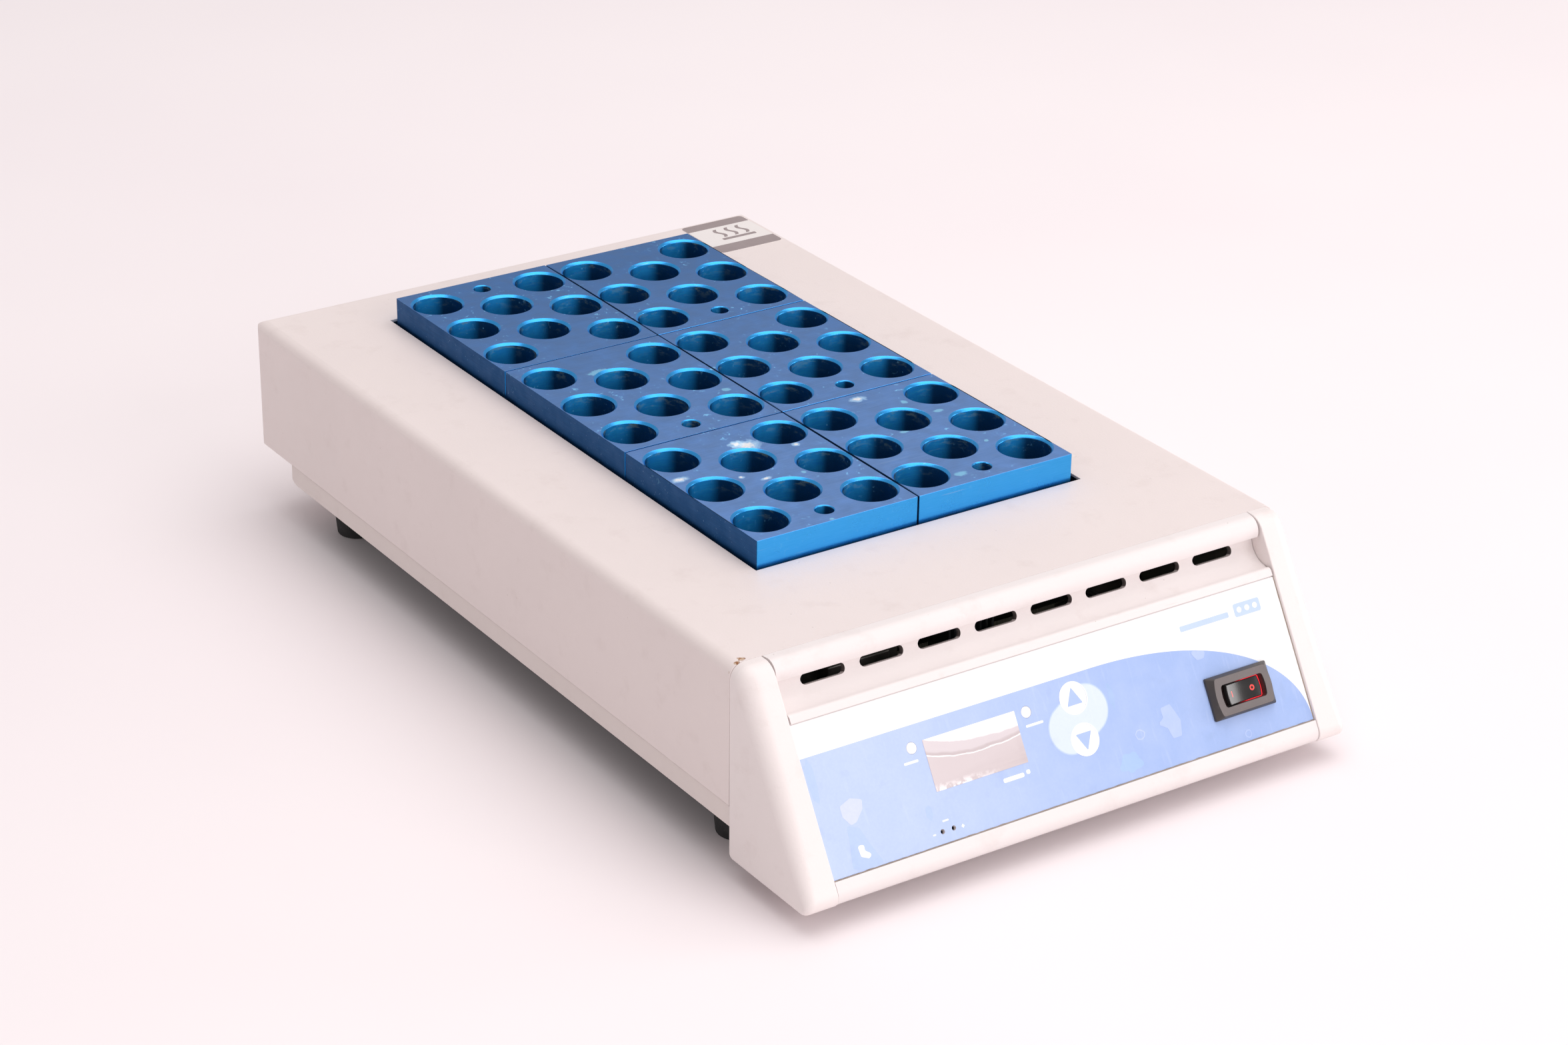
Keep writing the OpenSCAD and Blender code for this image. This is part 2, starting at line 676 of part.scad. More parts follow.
module mains_inlet() {
    color([0.1, 0.1, 0.11]) translate([inlet_x, back_y, inlet_z]) difference() {
        union() {
            translate([-inlet_w / 2, -inlet_depth, -inlet_h / 2])
                cube([inlet_w, inlet_depth + eps, inlet_h]);
            along(0, flange_t) round_rect(inlet_w + 4, inlet_h + 4, 2);
        }
        along(-13, flange_t + 1)
            polygon([[-12, -2.6], [12, -2.6], [12, 9.4], [8, 13.6], [-8, 13.6], [-12, 9.4]]);
        translate([-drawer[0] / 2 - 0.3, -drawer[1] + flange_t - 0.5, drawer_z - drawer[2] / 2 - 0.3])
            cube([drawer[0] + 0.6, drawer[1] + 2, drawer[2] + 0.6]);
        pin_bars(0.1);
    }
}
// The three flat pins, grown by t on every side.
module pin_bars(t) {
    for (p = [[-7, 3.4], [0, 7.4], [7, 3.4]])
        translate([p[0] - 1 - t, -inlet_depth - 3, p[1] - 2 - t])
            cube([2 + 2 * t, inlet_depth + 1, 4 + 2 * t]);
}
module inlet_pins() {
    color([0.8, 0.7, 0.4]) translate([inlet_x, back_y, inlet_z]) pin_bars(0);
}
module fuse_drawer() {
    color([0.16, 0.16, 0.17]) translate([inlet_x, back_y + flange_t - drawer[1], inlet_z + drawer_z])
        difference() {
            translate([-drawer[0] / 2, 0, -drawer[2] / 2]) cube(drawer);
            translate([-2.8, 1.7, -2.8]) cube([5.6, 20.6, 8]);
            translate([-4, drawer[1] - 1, drawer[2] / 2 - 1.6]) cube([8, 2, 2]);
        }
}
module fuse() {
    color([0.85, 0.85, 0.8]) translate([inlet_x, back_y + flange_t - drawer[1] + 2, inlet_z + drawer_z])
        rotate([-90, 0, 0]) cylinder(d = 5.2, h = 20);
}

// Three insulated leads from the inlet, along the right-hand side, to the power switch.
module mains_leads() {
    from_y = back_y - inlet_depth - 4.6;
    for (i = [-1, 0, 1]) color([0.2 + 0.2 * i, 0.3, 0.5 - 0.3 * i]) wire([
        [inlet_x + 7 * i, from_y, inlet_z + 1 + 4 * (i + 1)],
        [92 + 4 * i, from_y, inlet_z + 1 + 4 * (i + 1)],
        [92 + 4 * i, back_y - 70, floor_z + 5],
        [92 + 4 * i, seam_y + 14, floor_z + 5],
        [switch_x + 6 * i, seam_y - 6, floor_z + 4],
        [switch_x + 7 * i, seam_y - 14.5, floor_z + 1]], 1.3);
}
module heater_leads() {
    color([0.85, 0.8, 0.75]) for (x = [27, 34]) wire([
        [x, cut_front + 3, plate_z - mat_t - 1.3],
        [x, cut_front - 6, plate_z - mat_t - 4],
        [x, power_mid[1] + 14, power_z + board_t + 1.2]], 1.2);
}
module probe_lead() {
    color([0.85, 0.85, 0.85]) wire([
        [probe_x, cut_front - 8.8, plate_z + plate_t / 2],
        [probe_x, cut_front - 14, plate_z + plate_t / 2],
        [probe_x + 3, seam_y + 10, 42],
        [probe_x - 2, seam_y - 28, 25]], 0.9);
}
module ribbon_cable() {
    half = [0, 0.4];
    path = [slope(16, board_h - 0.6), [seam_y - 22, 24], [seam_y - 8, 27], [seam_y + 4, 33],
        [seam_y + 12, 32.2]];
    color([0.75, 0.75, 0.78]) across(18, -36)
        polygon(concat([for (p = path) p + half], [for (i = [len(path) - 1 : -1 : 0]) path[i] - half]));
}

// ---- feet, fasteners and labels ----

module rubber_feet() {
    top = pan_z - bottom_t;
    color([0.1, 0.1, 0.1]) foot_spots() rotate_extrude()
        polygon([[4.8, 0], [9, 0], [11, top], [2.2, top], [2.2, foot_seat], [4.8, foot_seat]]);
}
module foot_screws() {
    color([0.75, 0.75, 0.77]) foot_spots() {
        translate([0, 0, foot_seat]) screw(4, floor_z - foot_seat + 5);
        translate([0, 0, floor_z]) cylinder(d = 8.1, h = 3.2, $fn = 6);
    }
}
module cap_screws() {
    color([0.75, 0.75, 0.77]) tongue_spots() translate([0, 0, nose_z + 4]) screw(3, 16);
}
module bezel_screws() {
    color([0.75, 0.75, 0.77]) bezel_screw_spots() translate([0, 0, pan_z - 2.6]) screw(3, 7);
}
module rear_screws() {
    color([0.75, 0.75, 0.77]) rear_screw_spots() translate([0, 0, cover_low]) screw(3, 6);
}
module top_label() {
    color([0.8, 0.78, 0.75]) translate([89, back_y - 41.2, cover_top]) cube([33, 36, 0.2]);
}
module rating_plate() {
    color([0.75, 0.76, 0.78]) translate([-60, back_y, inlet_z - 14]) cube([64, 0.4, 28]);
}

top_cover();
base_pan();
bottom_plate();
left_end_cap();
right_end_cap();
front_bezel();
overlay_film();
display_window();
display_module();
actual_led();
setpoint_led();
up_button();
down_button();
key_switches();
switch_frame();
switch_body();
switch_rocker();
rocker_lens();
control_board();
trimmer_housings();
low_trimmer();
high_trimmer();
block_front_left();
block_front_right();
block_middle_left();
block_middle_right();
block_back_left();
block_back_right();
well_liner();
heater_plate();
heater_mat();
insulation_pad();
plate_pillars();
temperature_probe();
thermal_cutout();
power_board();
board_pillars();
transformer();
heat_sink();
mains_inlet();
inlet_pins();
fuse_drawer();
fuse();
mains_leads();
heater_leads();
probe_lead();
ribbon_cable();
rubber_feet();
foot_screws();
cap_screws();
bezel_screws();
rear_screws();
top_label();
rating_plate();
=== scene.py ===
import json
from math import atan2, copysign, cos, exp, pi, radians, sin, sqrt, tan

import bmesh
import bpy
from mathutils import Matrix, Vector, noise

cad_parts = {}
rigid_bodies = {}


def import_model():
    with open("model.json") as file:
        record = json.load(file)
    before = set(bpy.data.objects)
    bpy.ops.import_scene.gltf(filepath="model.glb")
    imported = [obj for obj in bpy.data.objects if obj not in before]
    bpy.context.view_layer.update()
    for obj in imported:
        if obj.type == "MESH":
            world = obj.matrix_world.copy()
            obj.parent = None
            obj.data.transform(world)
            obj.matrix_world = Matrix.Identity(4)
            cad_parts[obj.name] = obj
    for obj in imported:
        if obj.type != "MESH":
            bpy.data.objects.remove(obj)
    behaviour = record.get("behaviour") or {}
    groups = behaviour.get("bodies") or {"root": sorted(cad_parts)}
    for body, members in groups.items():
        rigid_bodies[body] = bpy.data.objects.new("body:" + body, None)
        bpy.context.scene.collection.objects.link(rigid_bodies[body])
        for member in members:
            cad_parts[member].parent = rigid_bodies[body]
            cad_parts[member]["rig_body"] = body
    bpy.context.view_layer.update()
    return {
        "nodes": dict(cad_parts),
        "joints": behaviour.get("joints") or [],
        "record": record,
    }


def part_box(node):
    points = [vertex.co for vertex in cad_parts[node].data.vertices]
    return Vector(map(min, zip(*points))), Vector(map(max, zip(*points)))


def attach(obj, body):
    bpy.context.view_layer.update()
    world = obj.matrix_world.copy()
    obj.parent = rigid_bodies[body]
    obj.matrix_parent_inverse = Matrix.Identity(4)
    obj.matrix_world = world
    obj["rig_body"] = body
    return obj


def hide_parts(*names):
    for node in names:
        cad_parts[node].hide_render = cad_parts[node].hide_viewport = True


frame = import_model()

MM = 0.001
MICRON = 1e-6

# ---- places taken from the frame ----

NODES = frame["nodes"]
JOINTS = {joint["name"]: joint for joint in frame["joints"]}
SLOT_OF = {part["node"]: part["material_slot"] for part in frame["record"]["subparts"]}
RIGHT = Vector((1, 0, 0))


class Face:
    """A flat side of the object. Its points are x to the right, s up it and h out of it."""

    def __init__(self, origin, right, up):
        self.origin, self.right, self.up = origin, right, up
        self.out = right.cross(up)

    def at(self, x, s, h=0.0):
        return self.origin + self.right * x + self.up * s + self.out * h

    def box(self, node):
        """Lowest and highest (x, s, h) of a CAD node."""
        places = [v.co - self.origin for v in NODES[node].data.vertices]
        rows = [(p.dot(self.right), p.dot(self.up), p.dot(self.out)) for p in places]
        return [min(column) for column in zip(*rows)], [max(column) for column in zip(*rows)]

    def middle(self, node):
        """Middle (x, s) of a CAD node."""
        low, high = self.box(node)
        return (low[0] + high[0]) / 2, (low[1] + high[1]) / 2

    def spread(self, node):
        """Half width, half height and highest h of a CAD node."""
        low, high = self.box(node)
        return (high[0] - low[0]) / 2, (high[1] - low[1]) / 2, high[2]


class HollowFace(Face):
    """A face hollowed along x: h is measured from an arc of a given radius, deepest at x = 0."""

    def __init__(self, origin, right, up, depth, radius):
        super().__init__(origin, right, up)
        self.depth, self.radius = depth, radius

    def at(self, x, s, h=0.0):
        rise = self.depth + self.radius - sqrt(self.radius ** 2 - x ** 2)
        return super().at(x, s, rise + h)


cover_low, cover_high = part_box("top_cover")

# The control panel: h = 0 is the face of the printed film, whose lower edge is at s = FILM_LOW.
FILM = 0.3 * MM
FILM_LOW = -0.4 * MM
key_travel = Vector(JOINTS["up_press"]["axis"]).normalized()
film_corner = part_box("overlay_film")[0]
PANEL = Face(Vector((0, film_corner.y, film_corner.z)), RIGHT, key_travel.cross(RIGHT) * -1)
PANEL.origin.z += FILM * PANEL.out.z
PANEL.origin -= PANEL.up * FILM_LOW

TOP = Face(Vector((0, 0, cover_high.z)), RIGHT, Vector((0, 1, 0)))
plate_low, plate_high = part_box("rating_plate")
BACK = Face(Vector((plate_high.x, plate_low.y, plate_low.z)), -RIGHT, Vector((0, 0, 1)))

# The rocker's hollow face, turned about its pivot to where it rests.
rocker_joint = JOINTS["rocker_tilt"]
lean = radians(rocker_joint["range_deg"][1] / 2)
rocker_right = PANEL.right * cos(lean) - PANEL.out * sin(lean)
hollow_depth = 2.7 * MM
hollow_radius = 40.5 * MM
ROCKER = HollowFace(Vector(rocker_joint["pos_m"]), rocker_right, PANEL.up, hollow_depth, hollow_radius)


# ---- materials ----

class Look:
    """A node material. Inputs take a number, a colour or another node's output."""

    def __init__(self, name, **inputs):
        self.material = bpy.data.materials.new(name)
        self.material.use_nodes = True
        self.tree = self.material.node_tree
        self.shader = self.tree.nodes["Principled BSDF"]
        coordinates = self.node("TexCoord").outputs
        self.place = coordinates["Object"]
        self.facing = coordinates["Normal"]
        self.finish(**inputs)

    def node(self, kind, settings=(), **inputs):
        made = self.tree.nodes.new("ShaderNode" + kind)
        for key, value in dict(settings).items():
            setattr(made, key, value)
        self.fill(made, inputs)
        return made

    def fill(self, made, inputs):
        for key, value in inputs.items():
            socket = made.inputs[int(key[1:])] if key[1:].isdigit() else made.inputs[key.replace("_", " ")]
            if isinstance(value, bpy.types.NodeSocket):
                self.tree.links.new(value, socket)
            elif socket.type == "RGBA":
                socket.default_value = (*value, 1)
            else:
                socket.default_value = value

    def finish(self, **inputs):
        self.fill(self.shader, inputs)
        return self

    def noise(self, size, detail=2.0, rough=0.5, place=None, distortion=0.0):
        made = self.node("TexNoise", Vector=place or self.place, Scale=1 / size, Detail=detail,
                         Roughness=rough, Distortion=distortion)
        return made.outputs["Fac"]

    def cells(self, size, place=None, feature="F1", randomness=1.0):
        made = self.node("TexVoronoi", {"feature": feature}, Vector=place or self.place, Scale=1 / size,
                         Randomness=randomness)
        return made.outputs["Distance"]

    def stretched(self, x=1.0, y=1.0, z=1.0, turn=(0, 0, 0)):
        return self.node("Mapping", Vector=self.place, Scale=(x, y, z), Rotation=turn).outputs["Vector"]

    def span(self, value, low, high, to_low=0.0, to_high=1.0, smooth=False):
        kind = "SMOOTHSTEP" if smooth else "LINEAR"
        return self.node("MapRange", {"interpolation_type": kind}, Value=value, From_Min=low, From_Max=high,
                         To_Min=to_low, To_Max=to_high).outputs["Result"]

    def math(self, operation, a, b=0.0):
        return self.node("Math", {"operation": operation}, _0=a, _1=b).outputs["Value"]

    def times(self, a, b):
        return self.math("MULTIPLY", a, b)

    def mix(self, share, a, b):
        return self.node("Mix", {"data_type": "RGBA"}, _0=share, _6=a, _7=b).outputs[2]

    def tint(self, tone, share, strength, colour):
        """Lays a colour over a tone where share is 1, as strongly as given."""
        return self.mix(self.times(share, strength), tone, colour)

    def axis(self, name, place=None):
        return self.node("SeparateXYZ", Vector=place or self.place).outputs[name]

    def bump(self, height, distance, strength=1.0, under=None):
        made = self.node("Bump", Strength=strength, Distance=distance, Height=height)
        if under:
            self.tree.links.new(under, made.inputs["Normal"])
        return made.outputs["Normal"]

    def near(self, point, radius, edge, warp=0.0, warp_size=1.0, squeeze=(1, 1, 1)):
        """1 within radius of a point, falling to 0 over edge; warp makes the outline uneven."""
        away = self.node("VectorMath", {"operation": "SUBTRACT"}, _0=self.place, _1=tuple(point))
        away = self.node("VectorMath", {"operation": "MULTIPLY"}, _0=away.outputs["Vector"], _1=squeeze)
        away = self.node("VectorMath", {"operation": "LENGTH"}, _0=away.outputs["Vector"]).outputs["Value"]
        if warp:
            away = self.math("ADD", away, self.span(self.noise(warp_size, 3), 0, 1, -warp, warp))
        return self.span(away, radius, radius + edge, 1, 0)


def dimmed(colour, share):
    return tuple(c * share for c in colour)


def powder_coat(name, colour, dark, chips=()):
    """Baked powder coating: orange peel, faint cloudiness, rubbed dust, specks, small dents and chips."""
    look = Look(name, Specular_IOR_Level=0.4)
    cloud = look.span(look.noise(60 * MM, 3), 0.3, 0.7)
    tone = look.mix(cloud, colour, dimmed(colour, 0.975))
    grime = look.span(look.noise(14 * MM, 5, 0.65), 0.56, 0.8)
    tone = look.tint(tone, grime, 0.3, dark)
    specks = look.span(look.cells(11 * MM), 0.03, 0.018)
    tone = look.tint(tone, specks, 0.5, (0.42, 0.36, 0.33))
    scuffs = look.span(look.noise(0.7 * MM, 2, 0.5, look.stretched(0.06, 1, 1, (0, 0, 0.5))), 0.7, 0.76)
    scuffs = look.times(scuffs, look.span(look.noise(38 * MM, 2), 0.56, 0.7))
    tone = look.tint(tone, scuffs, 0.25, dark)
    peel = look.noise(1.0 * MM, 2, 0.55)
    grain = look.noise(0.35 * MM, 1)
    height = look.math("ADD", peel, look.times(grain, 0.25))
    normal = look.bump(height, 0.06 * MM, 0.7)
    dents = look.span(look.cells(31 * MM), 0.03, 0.012)
    normal = look.bump(look.times(dents, -1), 0.15 * MM, 0.7, normal)
    for point, radius in chips:
        mark = look.near(point, radius, 0.3 * MM, radius * 0.9, 1.1 * MM)
        rust = look.mix(look.span(look.noise(0.8 * MM, 2), 0.4, 0.6), (0.28, 0.1, 0.03), (0.6, 0.45, 0.33))
        tone = look.mix(mark, tone, rust)
        normal = look.bump(look.times(mark, -1), 0.15 * MM, 0.9, normal)
    rough = look.span(look.noise(5 * MM, 3), 0.3, 0.7, 0.36, 0.48)
    return look.finish(Base_Color=tone, Roughness=rough, Normal=normal).material


def moulded(name, colour, rough, grain=0.45 * MM, depth=0.02 * MM):
    """Moulded plastic with a fine spark-eroded grain and a little handling wear."""
    look = Look(name)
    shade = look.span(look.noise(22 * MM, 4, 0.6), 0.35, 0.75)
    tone = look.mix(shade, colour, dimmed(colour, 0.85))
    dust = look.span(look.noise(3 * MM, 5, 0.7), 0.6, 0.8)
    tone = look.tint(tone, dust, 0.12, (0.5, 0.48, 0.46))
    normal = look.bump(look.noise(grain, 2, 0.6), depth, 0.6)
    uneven = look.span(look.noise(7 * MM, 4), 0.3, 0.7, rough * 0.85, min(1.0, rough * 1.2))
    return look.finish(Base_Color=tone, Roughness=uneven, Normal=normal).material


def metal(name, colour, rough, brush=(1, 1, 1), wear=0.15):
    """Bare metal with brushed or rolled marks along one direction."""
    look = Look(name, Metallic=1.0)
    marks = look.noise(0.35 * MM, 4, 0.7, look.stretched(*brush))
    tone = look.mix(look.span(marks, 0.3, 0.7), colour, dimmed(colour, 1 - wear))
    stains = look.span(look.noise(9 * MM, 4, 0.65), 0.5, 0.75)
    tone = look.tint(tone, stains, 0.3, dimmed(colour, 0.7))
    uneven = look.span(marks, 0.3, 0.7, rough * 0.8, min(1.0, rough * 1.25))
    return look.finish(Base_Color=tone, Roughness=uneven, Normal=look.bump(marks, 0.01 * MM, 0.5)).material


def anodised(name, deep, bright, rough, brush, splashes=(), nicked=1.0, glint_and_residue_top=None,
             metallic=0.95):
    """Blue anodised aluminium with cutter marks, dried splashes and nicks down to paler metal. With splashes
    it is darker towards the back as painted shade; with a well top its walls get a painted glint.
    """
    look = Look(name)
    groove = 0.014 * MM
    cuts = look.noise(0.4 * MM, 4, 0.7, look.stretched(*brush))
    tone = look.mix(look.span(cuts, 0.3, 0.7), deep, bright)
    cloudy = look.span(look.noise(24 * MM, 4, 0.6), 0.35, 0.7)
    between = tuple((a + b) / 2 for a, b in zip(deep, bright))
    tone = look.tint(tone, cloudy, 0.5, between)
    scratches = look.span(look.noise(1.1 * MM, 2, 0.5, look.stretched(0.04, 1, 1, (0, 0, 0.6))), 0.7, 0.74)
    tone = look.tint(tone, scratches, 0.3, (0.35, 0.55, 0.85))
    if splashes:
        # Painted shade: the block tops are darker towards the back.
        back_shade = look.span(look.axis("Y"), -60 * MM, 160 * MM)
        tone = look.tint(tone, back_shade, 0.62, (0.035, 0.16, 0.42))
    if glint_and_residue_top is not None:
        # Turned walls get a painted glint: those that face the front are painted bright, the others painted
        # dark as shade, with residue near the top.
        groove = 0.05 * MM
        glint_facing = look.times(look.axis("Y", look.facing), -1)
        tone = look.mix(look.span(glint_facing, 0.72, 0.99, smooth=True), dimmed(deep, 0.2), tone)
        band = look.span(look.axis("Z"), glint_and_residue_top - 7 * MM, glint_and_residue_top - 1.5 * MM)
        crust = look.span(look.noise(2.4 * MM, 5, 0.7, look.stretched(0.4, 0.4, 1)), 0.52, 0.62)
        crust = look.times(crust, look.times(band, 0.55))
        tone = look.mix(crust, tone, (0.16, 0.2, 0.13))
        metallic = look.math("SUBTRACT", metallic, crust)
    normal = look.bump(cuts, groove, 0.5)
    groups = look.span(look.noise(24 * MM, 2), 0.5, 0.62)
    drops = look.span(look.noise(2.3 * MM, 4, 0.6, distortion=0.5), 0.62, 0.7)
    nicks = look.span(look.cells(5 * MM), 0.085, 0.05)
    nicks = look.times(nicks, look.span(look.noise(17 * MM, 2), 0.45, 0.58))
    marks = look.math("MAXIMUM", look.times(groups, drops), nicks)
    marks = look.times(marks, nicked)
    tone = look.tint(tone, marks, 0.7, (0.25, 0.62, 0.85))
    metallic = look.math("SUBTRACT", metallic, look.times(marks, 0.5))
    for point, radius, squeeze in splashes:
        halo = look.near(point, radius, radius * 0.5, radius * 0.8, 2.2 * MM, squeeze)
        core = look.near(point, radius * 0.35, radius * 0.5, radius * 0.7, 1.3 * MM, squeeze)
        tone = look.tint(tone, halo, 0.55, (0.45, 0.72, 0.92))
        tone = look.tint(tone, core, 0.9, (0.93, 0.91, 0.9))
        metallic = look.math("SUBTRACT", metallic, look.times(halo, 0.6))
        normal = look.bump(halo, 0.04 * MM, 0.6, normal)
    for point, radius, squeeze in SPOTS if splashes else ():
        spot = look.near(point, radius, radius * 0.5, radius * 0.8, 1.6 * MM, squeeze)
        tone = look.tint(tone, spot, 0.6, (0.25, 0.66, 0.84))
        metallic = look.math("SUBTRACT", metallic, look.times(spot, 0.5))
    uneven = look.span(look.noise(6 * MM, 3), 0.3, 0.7, rough * 0.85, rough * 1.15)
    uneven = look.math("ADD", uneven, look.times(marks, 0.3))
    return look.finish(Base_Color=tone, Roughness=uneven, Normal=normal, Metallic=metallic).material


def print_ink(name, colour, rough=0.34, faded_and_glare=(0.8, 0.87, 1.0), fade=0.2, painted_glare=0.0):
    """Screen-printed film: fine texture, handling haze, faint streaks, and a painted glare that pales it
    towards the left.
    """
    look = Look(name)
    tone = colour
    # Painted glare: the ink is paler towards the left.
    if painted_glare:
        left = look.span(look.axis("X"), 60 * MM, -105 * MM, smooth=True)
        tone = look.mix(look.times(left, painted_glare), colour, faded_and_glare)
    worn = look.span(look.noise(16 * MM, 5, 0.6), 0.42, 0.75)
    tone = look.tint(tone, worn, fade, faded_and_glare)
    patches = look.span(look.noise(9 * MM, 3, 0.55), 0.6, 0.72)
    tone = look.tint(tone, patches, 0.14, dimmed(colour, 0.7))
    fine = look.span(look.noise(1.1 * MM, 3), 0.35, 0.65)
    tone = look.tint(tone, fine, 0.08, dimmed(colour, 0.8))
    streaks = look.span(look.noise(1.6 * MM, 2, 0.5, look.stretched(1, 0.12, 0.12)), 0.62, 0.72)
    tone = look.tint(tone, streaks, 0.1, faded_and_glare)
    normal = look.bump(look.noise(0.5 * MM, 2), 0.012 * MM, 0.4)
    uneven = look.span(look.noise(12 * MM, 3), 0.3, 0.7, rough * 0.85, rough * 1.2)
    return look.finish(Base_Color=tone, Roughness=uneven, Normal=normal).material


def glossy(name, colour, rough=0.12, transmission=0.0, painted_glow=None, shaded_before=None):
    """Polished plastic or glass with a soft ripple. It may be painted dark as shade on one side of a level
    of x, and it may have a painted glow.
    """
    look = Look(name, Transmission_Weight=transmission)
    tone = look.mix(look.span(look.noise(4 * MM, 3), 0.4, 0.7), colour, dimmed(colour, 0.85))
    # Painted shade before the level of x, where the painted glow is taken away too.
    if shaded_before is not None:
        lit = look.span(look.axis("X"), shaded_before - 2 * MM, shaded_before + 2 * MM)
        tone = look.mix(lit, (0.02, 0.012, 0.012), tone)
        painted_glow = look.mix(lit, (0.0, 0.0, 0.0), painted_glow)
    prints = look.span(look.noise(2.5 * MM, 4, 0.6), 0.5, 0.75, rough, rough + 0.05)
    look.finish(Base_Color=tone, Roughness=prints, Normal=look.bump(look.noise(3 * MM, 1), 0.006 * MM, 0.08))
    # Painted glow: emission on a part that is no lamp.
    if painted_glow:
        look.finish(Emission_Color=painted_glow, Emission_Strength=0.35 if shaded_before is None else 1.1)
    return look.material


def creased_film(low, high):
    """Peel-off film over the display, pinkish below, with one sagging crease; the white along its top is a
    painted reflection, and painted shade and painted highlights follow the crease and the crumpled lower
    left.
    """
    look = Look("creased_film", Specular_IOR_Level=0.5)
    bottom, top = PANEL.at(0, low[1]).z, PANEL.at(0, high[1]).z
    u = look.span(look.axis("X"), low[0], high[0])
    v = look.span(look.axis("Z"), bottom, top)
    drift = look.span(look.noise(7 * MM, 3), 0.3, 0.7, -0.02, 0.02)
    v = look.math("ADD", v, drift)
    left = look.span(u, 0.0, 0.55, 1.0, 0.0)
    right = look.span(u, 0.55, 1.0)
    sag = look.math("ADD", look.times(look.times(left, left), 0.205),
                    look.times(look.times(right, right), 0.07))
    level = look.math("SUBTRACT", look.math("SUBTRACT", v, sag), 0.515)
    streaks = look.span(look.noise(2.0 * MM, 3, 0.5, look.stretched(0.08, 1, 1, (0, -0.03, 0))), 0.35, 0.65)
    silver = look.mix(streaks, (0.56, 0.48, 0.49), (0.61, 0.53, 0.535))
    silver = look.mix(look.span(look.math("ADD", v, look.span(u, 0, 1, 0.35, 0)), 0.1, 0.5), silver,
                      (0.64, 0.56, 0.57))
    # Painted shade: a darker band just above the crease.
    tone = look.mix(look.span(level, -0.005, 0.015), silver, (0.57, 0.49, 0.5))
    tone = look.mix(look.span(level, 0.035, 0.075), tone, (0.68, 0.61, 0.63))
    # Painted reflection: the film is white along its top, down to a slanting line.
    from_left = look.span(u, 0.0, 1.0, 1.0, 0.0)
    slant = look.times(look.times(from_left, from_left), from_left)
    painted_reflection_level = look.math("SUBTRACT", v, look.span(slant, 0, 1, 0.72, 1.0))
    tone = look.mix(look.span(painted_reflection_level, -0.015, 0.015), tone, (0.97, 0.96, 0.96))
    # Painted highlight: a bright line along the crease.
    line = look.span(look.math("ABSOLUTE", look.math("ADD", level, 0.012)), 0.008, 0.02, 0.8, 0)
    tone = look.mix(line, tone, (1.0, 0.98, 0.98))
    # Painted highlight: bright crumples low on the left.
    crumple = look.times(look.span(v, 0.16, 0.02), look.span(u, 0.75, 0.3))
    crumple = look.times(crumple, look.span(look.noise(2.2 * MM, 3), 0.42, 0.55))
    tone = look.mix(crumple, tone, (1.0, 0.97, 0.97))
    normal = look.bump(streaks, 0.03 * MM, 0.4)
    return look.finish(Base_Color=tone, Roughness=0.28, Normal=normal).material


def circuit_board(name):
    look = Look(name, Roughness=0.35)
    tracks = look.node("TexBrick", Vector=look.place, Scale=160, Color1=(0.02, 0.17, 0.07),
                       Color2=(0.03, 0.22, 0.09), Mortar=(0.04, 0.3, 0.12), Mortar_Size=0.03)
    pads = look.span(look.cells(2.54 * MM, randomness=0.2), 0.2, 0.16)
    tone = look.mix(pads, tracks.outputs["Color"], (0.6, 0.58, 0.5))
    return look.finish(Base_Color=tone, Normal=look.bump(pads, 0.05 * MM, 0.5)).material


def woven(name, colour, dark, size):
    look = Look(name, Roughness=0.85)
    wave = look.node("TexWave", {"bands_direction": "X"}, Vector=look.place, Scale=1 / size, Distortion=1.0)
    cross = look.node("TexWave", {"bands_direction": "Y"}, Vector=look.place, Scale=1 / size, Distortion=1.0)
    thread = look.times(wave.outputs["Fac"], cross.outputs["Fac"])
    tone = look.mix(thread, dark, colour)
    return look.finish(Base_Color=tone, Normal=look.bump(thread, 0.15 * MM, 0.6)).material


# Paint chips at the cover's left front top corner, beside the cap's seam.
seam_corner = Vector((cover_low.x + 1.6 * MM, cover_low.y + 0.6 * MM, cover_high.z - 1.6 * MM))
CHIPS = [
    (seam_corner + Vector((1.8, 0, 1.0)) * MM, 0.8 * MM),
    (seam_corner + Vector((4.4, 1.2, 1.6)) * MM, 1.2 * MM),
    (seam_corner + Vector((-0.6, 0.4, -2.2)) * MM, 0.6 * MM),
]
block_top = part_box("block_front_left")[1].z


def on_blocks(rows):
    """Marks on the block tops, from rows of x, y and radius in mm and how much x and y are squeezed."""
    return [(Vector((x * MM, y * MM, block_top)), r * MM, (across, along, 1))
            for x, y, r, across, along in rows]


